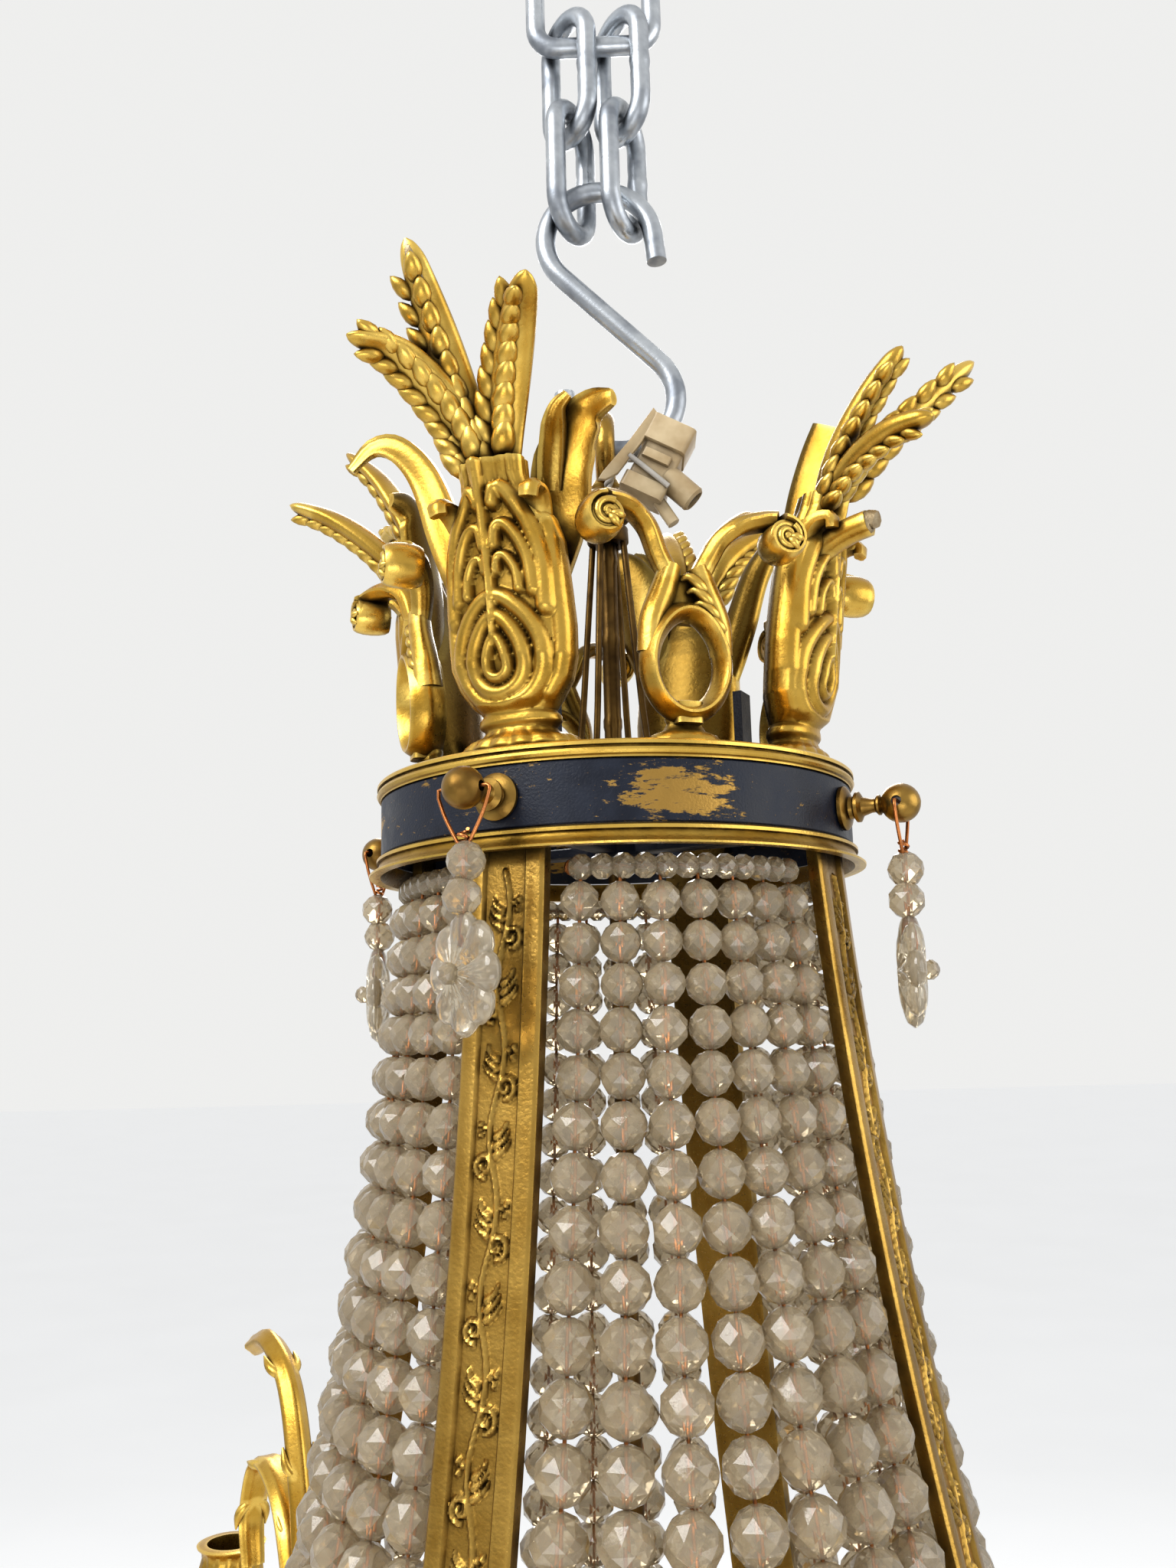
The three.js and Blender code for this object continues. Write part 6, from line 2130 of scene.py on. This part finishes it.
@dataclass
class CandleArms:
    """Six scrolling arms with their candle cups.

    Routes are rows of along, distance from the stem and height above the arm's middle level.
    """

    count: int = 6
    middle: float = -264.0
    reach: float = 300.0
    cup_foot: float = -290.0
    wire: float = 5.0
    plate: BoxRow = ((15.4, 4.0, 12.0), 1.8, (0.0, -108.7, 0.0))
    spine: Route = (
        (0, 108.4, 0), (0, 118.4, -6), (0, 140.4, -28), (0, 178.4, -34), (0, 212, -8), (0, 222, 40),
        (0, 236, 76), (0, 258, 90), (0, 276, 86),
    )
    leaf: Route = ((0, 214, 2), (0, 236, 36), (0, 262, 44), (0, 276, 22), (0, 274, 2))
    branch: Route = ((0, 168.4, -36), (0, 232, -54), (0, 272, -56), (0, 298.4, -36), (0, 300, -26.3))
    frond: Route = ((0, 0), (6, 5.2), (13, 6.2))
    spine_fronds: tuple[int, ...] = (6, 14, 24, 36, 48, 58)
    leaf_fronds: tuple[int, ...] = (8, 20, 30)
    cup_profile: Route = (
        (0, 0), (5, 0), (5.4, 1.4), (4.2, 2.6), (5.2, 4.2), (12, 6.4), (22.4, 7.6), (23.8, 8.6), (23.4, 9.4),
        (20, 9.0), (9.6, 9.6), (8.4, 11), (11.6, 14.6), (12.9, 18), (12.6, 21), (11.6, 24.6), (12.2, 27.4),
        (14, 29), (14.2, 29.7), (13.4, 30), (10, 30), (10, 10), (0, 10),
    )

    def fronds(self, route: np.ndarray, places: Iterable[int]) -> list[Shape]:
        """Pairs of small leaf tips that grow out of a stem.

        Args:
            route: The stem's centre line.
            places: The points of the route that they grow from.

        Returns:
            The leaf tips.
        """
        parts = []
        for k in places:
            along = unit(route[min(k + 3, len(route) - 1)] - route[k])
            for side in (-1, 1):
                points = [route[k] + along * far + (side * aside, 0, 0) for far, aside in self.frond]
                parts.append(tube(smooth_route(points, 12), spindle(2.1, 0, 0.75), 8, (1, 0.1, 0)))
        return parts

    def arm(self) -> Shape:
        """One arm: a plate on the ring, a scroll that rises and rolls over, and a branch to the cup.

        Returns:
            The whole arm.
        """
        w = self.wire
        spine, leaf, branch = bend(self.spine, 70), bend(self.leaf, 40), bend(self.branch, 40)
        size = tapered((1.2 * w, 0.9 * w), (0.85 * w, 0.75 * w))
        parts = [
            tube(spine, size, 20, ALONG, section=fluted(4, 0.13)),
            tube(leaf, tapered((8.6, 3.3), (4.6, 1.7)), 20, ALONG, section=fluted(6, 0.1)),
            tube(branch, tapered((w, w), (0.75 * w, 0.75 * w)), 18, ALONG, section=fluted(4, 0.13)),
            *self.fronds(spine, self.spine_fronds),
            *self.fronds(leaf, self.leaf_fronds),
        ]
        size, radius, place = self.plate
        return gather([*parts, rounded_box(size, radius).shifted(*place)]).shifted(0, 0, self.middle)

    def cup(self) -> Shape:
        """A vase-shaped candle cup with its drip pan."""
        flute = lambda turn, share: 1 + 0.035 * np.cos(16 * turn) * (0.5 < share < 0.72)
        return lathe(self.cup_profile, 64, flute).shifted(*at(0, self.reach, self.cup_foot))

    def build(self) -> None:
        """Builds the arms and the cups."""
        arm, cup = self.arm(), self.cup()
        for i in range(self.count):
            station = Station(360 * i / self.count)
            show(f"arm_{i + 1}_casting", arm, Finish.GILT, station=station, nodes=[f"arm_{i + 1}"], smooth=50)
            node = f"candle_cup_{i + 1}"
            show(f"{node}_turning", cup, Finish.GILT, station=station, nodes=[node], smooth=40)


# Camera, light and floor


@dataclass(frozen=True)
class Lamp:
    """A soft square lamp: its place around the crown, its size in metres and its power in watts."""

    name: str
    azimuth: float
    distance: float
    height: float
    size: float
    power: float

    def build(self) -> None:
        """Puts the lamp in place, aimed at the crown."""
        a = math.radians(self.azimuth)
        data = bpy.data.lights.new(self.name, "AREA")
        data.shape = "SQUARE"
        data.size = self.size
        data.energy = self.power
        lamp = bpy.data.objects.new(self.name, data)
        place = Vector((math.sin(a) * self.distance, -math.cos(a) * self.distance, RING_MID + self.height))
        lamp.location = place
        lamp.rotation_euler = (Vector((0, 0, RING_MID)) - place).to_track_quat("-Z", "Y").to_euler()
        lamp.visible_camera = False
        bpy.context.scene.collection.objects.link(lamp)


@dataclass
class Studio:
    """The camera at the photo's angle, soft light, and a plain pale floor."""

    azimuth: float = 25.5
    distance: float = 378.6
    height: float = -57.5
    pitch: float = 10.62
    yaw: float = 1.12
    roll: float = -1.4
    focal_pixels: float = 1804.0
    width_pixels: float = 1536.0
    sensor: float = 36.0
    clip: tuple[float, float] = (0.02, 20.0)
    backdrop: Colour = (0.86, 0.86, 0.85, 1.0)
    surround: Colour = (0.60, 0.61, 0.63, 1.0)
    floor_light: Colour = (0.83, 0.83, 0.82, 1.0)
    floor_dark: Colour = (0.80, 0.80, 0.79, 1.0)
    floor_lift: float = 0.36
    floor_half: float = 40.0
    floor_drop: float = 0.45
    lamps: tuple[Lamp, ...] = (
        Lamp("key", -20, 1.3, 0.9, 0.9, 22),
        Lamp("fill", 95, 1.5, 0.2, 1.2, 9),
        Lamp("low", 20, 1.2, -0.8, 0.9, 8),
        Lamp("rim", 205, 1.4, 0.8, 0.8, 16),
    )

    def build_camera(self) -> None:
        """Puts the camera below the crown ring, looking up at it."""
        a, y, p, r = (math.radians(v) for v in (self.azimuth, self.azimuth + self.yaw, self.pitch, self.roll))
        forward = Vector((-math.sin(y) * math.cos(p), math.cos(y) * math.cos(p), math.sin(p)))
        level = forward.cross(Vector((0, 0, 1))).normalized()
        upright = level.cross(forward)
        right = level * math.cos(r) + upright * math.sin(r)
        up = upright * math.cos(r) - level * math.sin(r)
        data = bpy.data.cameras.new("camera")
        data.sensor_fit = "HORIZONTAL"
        data.sensor_width = self.sensor
        data.lens = self.sensor * self.focal_pixels / self.width_pixels
        data.clip_start, data.clip_end = self.clip
        camera = bpy.data.objects.new("camera", data)
        turn = Matrix((right, up, -forward)).transposed().to_4x4()
        place = Vector((math.sin(a) * self.distance, -math.cos(a) * self.distance, self.height)) * MM
        camera.matrix_world = Matrix.Translation(place + Vector((0, 0, RING_MID))) @ turn
        bpy.context.scene.collection.objects.link(camera)
        bpy.context.scene.camera = camera

    def build_world(self) -> None:
        """A pale surround that shows in metal and glass, and lights the rest softly."""
        world = bpy.data.worlds.new("surround")
        world.use_nodes = True
        bpy.context.scene.world = world
        nodes = Nodes(world.node_tree)
        background = world.node_tree.nodes["Background"]
        path = nodes.add("LightPath").outputs
        seen = nodes.maths("MAXIMUM", path["Is Camera Ray"], path["Is Glossy Ray"])
        seen = nodes.maths("MAXIMUM", seen, path["Is Transmission Ray"])
        nodes.join(nodes.blend(seen, self.surround, self.backdrop), background.inputs["Color"])
        background.inputs["Strength"].default_value = 1.0

    def build_floor(self) -> None:
        """A plain pale floor below the chandelier."""
        half, low = self.floor_half, CAD_BOX[0][2] - self.floor_drop
        mesh = bpy.data.meshes.new("floor")
        corners = [(x * half, y * half, low) for x, y in ((-1, -1), (1, -1), (1, 1), (-1, 1))]
        mesh.from_pydata(corners, [], [(0, 1, 2, 3)])
        material, nodes, shader = start_material("floor_paint")
        patches = place_group(nodes, "mottle", Scale=3.0).outputs["Patches"]
        nodes.join(nodes.blend(patches, self.floor_dark, self.floor_light), shader.inputs["Base Color"])
        shader.inputs["Roughness"].default_value = 0.9
        shader.inputs["Emission Color"].default_value = self.backdrop
        lift = nodes.maths("MULTIPLY", nodes.add("LightPath").outputs["Is Camera Ray"], self.floor_lift)
        nodes.join(lift, shader.inputs["Emission Strength"])
        mesh.materials.append(material)
        floor = bpy.data.objects.new("floor", mesh)
        bpy.context.scene.collection.objects.link(floor)

    def build(self) -> None:
        """Builds the camera, the lamps, the world and the floor."""
        self.build_camera()
        for lamp in self.lamps:
            lamp.build()
        self.build_world()
        self.build_floor()
        bpy.context.scene.view_settings.view_transform = "Standard"


def main() -> None:
    """Builds the chandelier's pieces in order."""
    logging.basicConfig(level=logging.INFO, format="%(message)s")
    Studio().build()
    for assembly in (
        Suspension(), Wiring(), CrownRing(), Palmette(), ScrollLoop(), Studs(), Cage(), Core(), LowerRing(),
        CandleArms(),
    ):
        LOG.info("building %s", type(assembly).__name__)
        assembly.build()


if __name__ == "__main__":
    main()
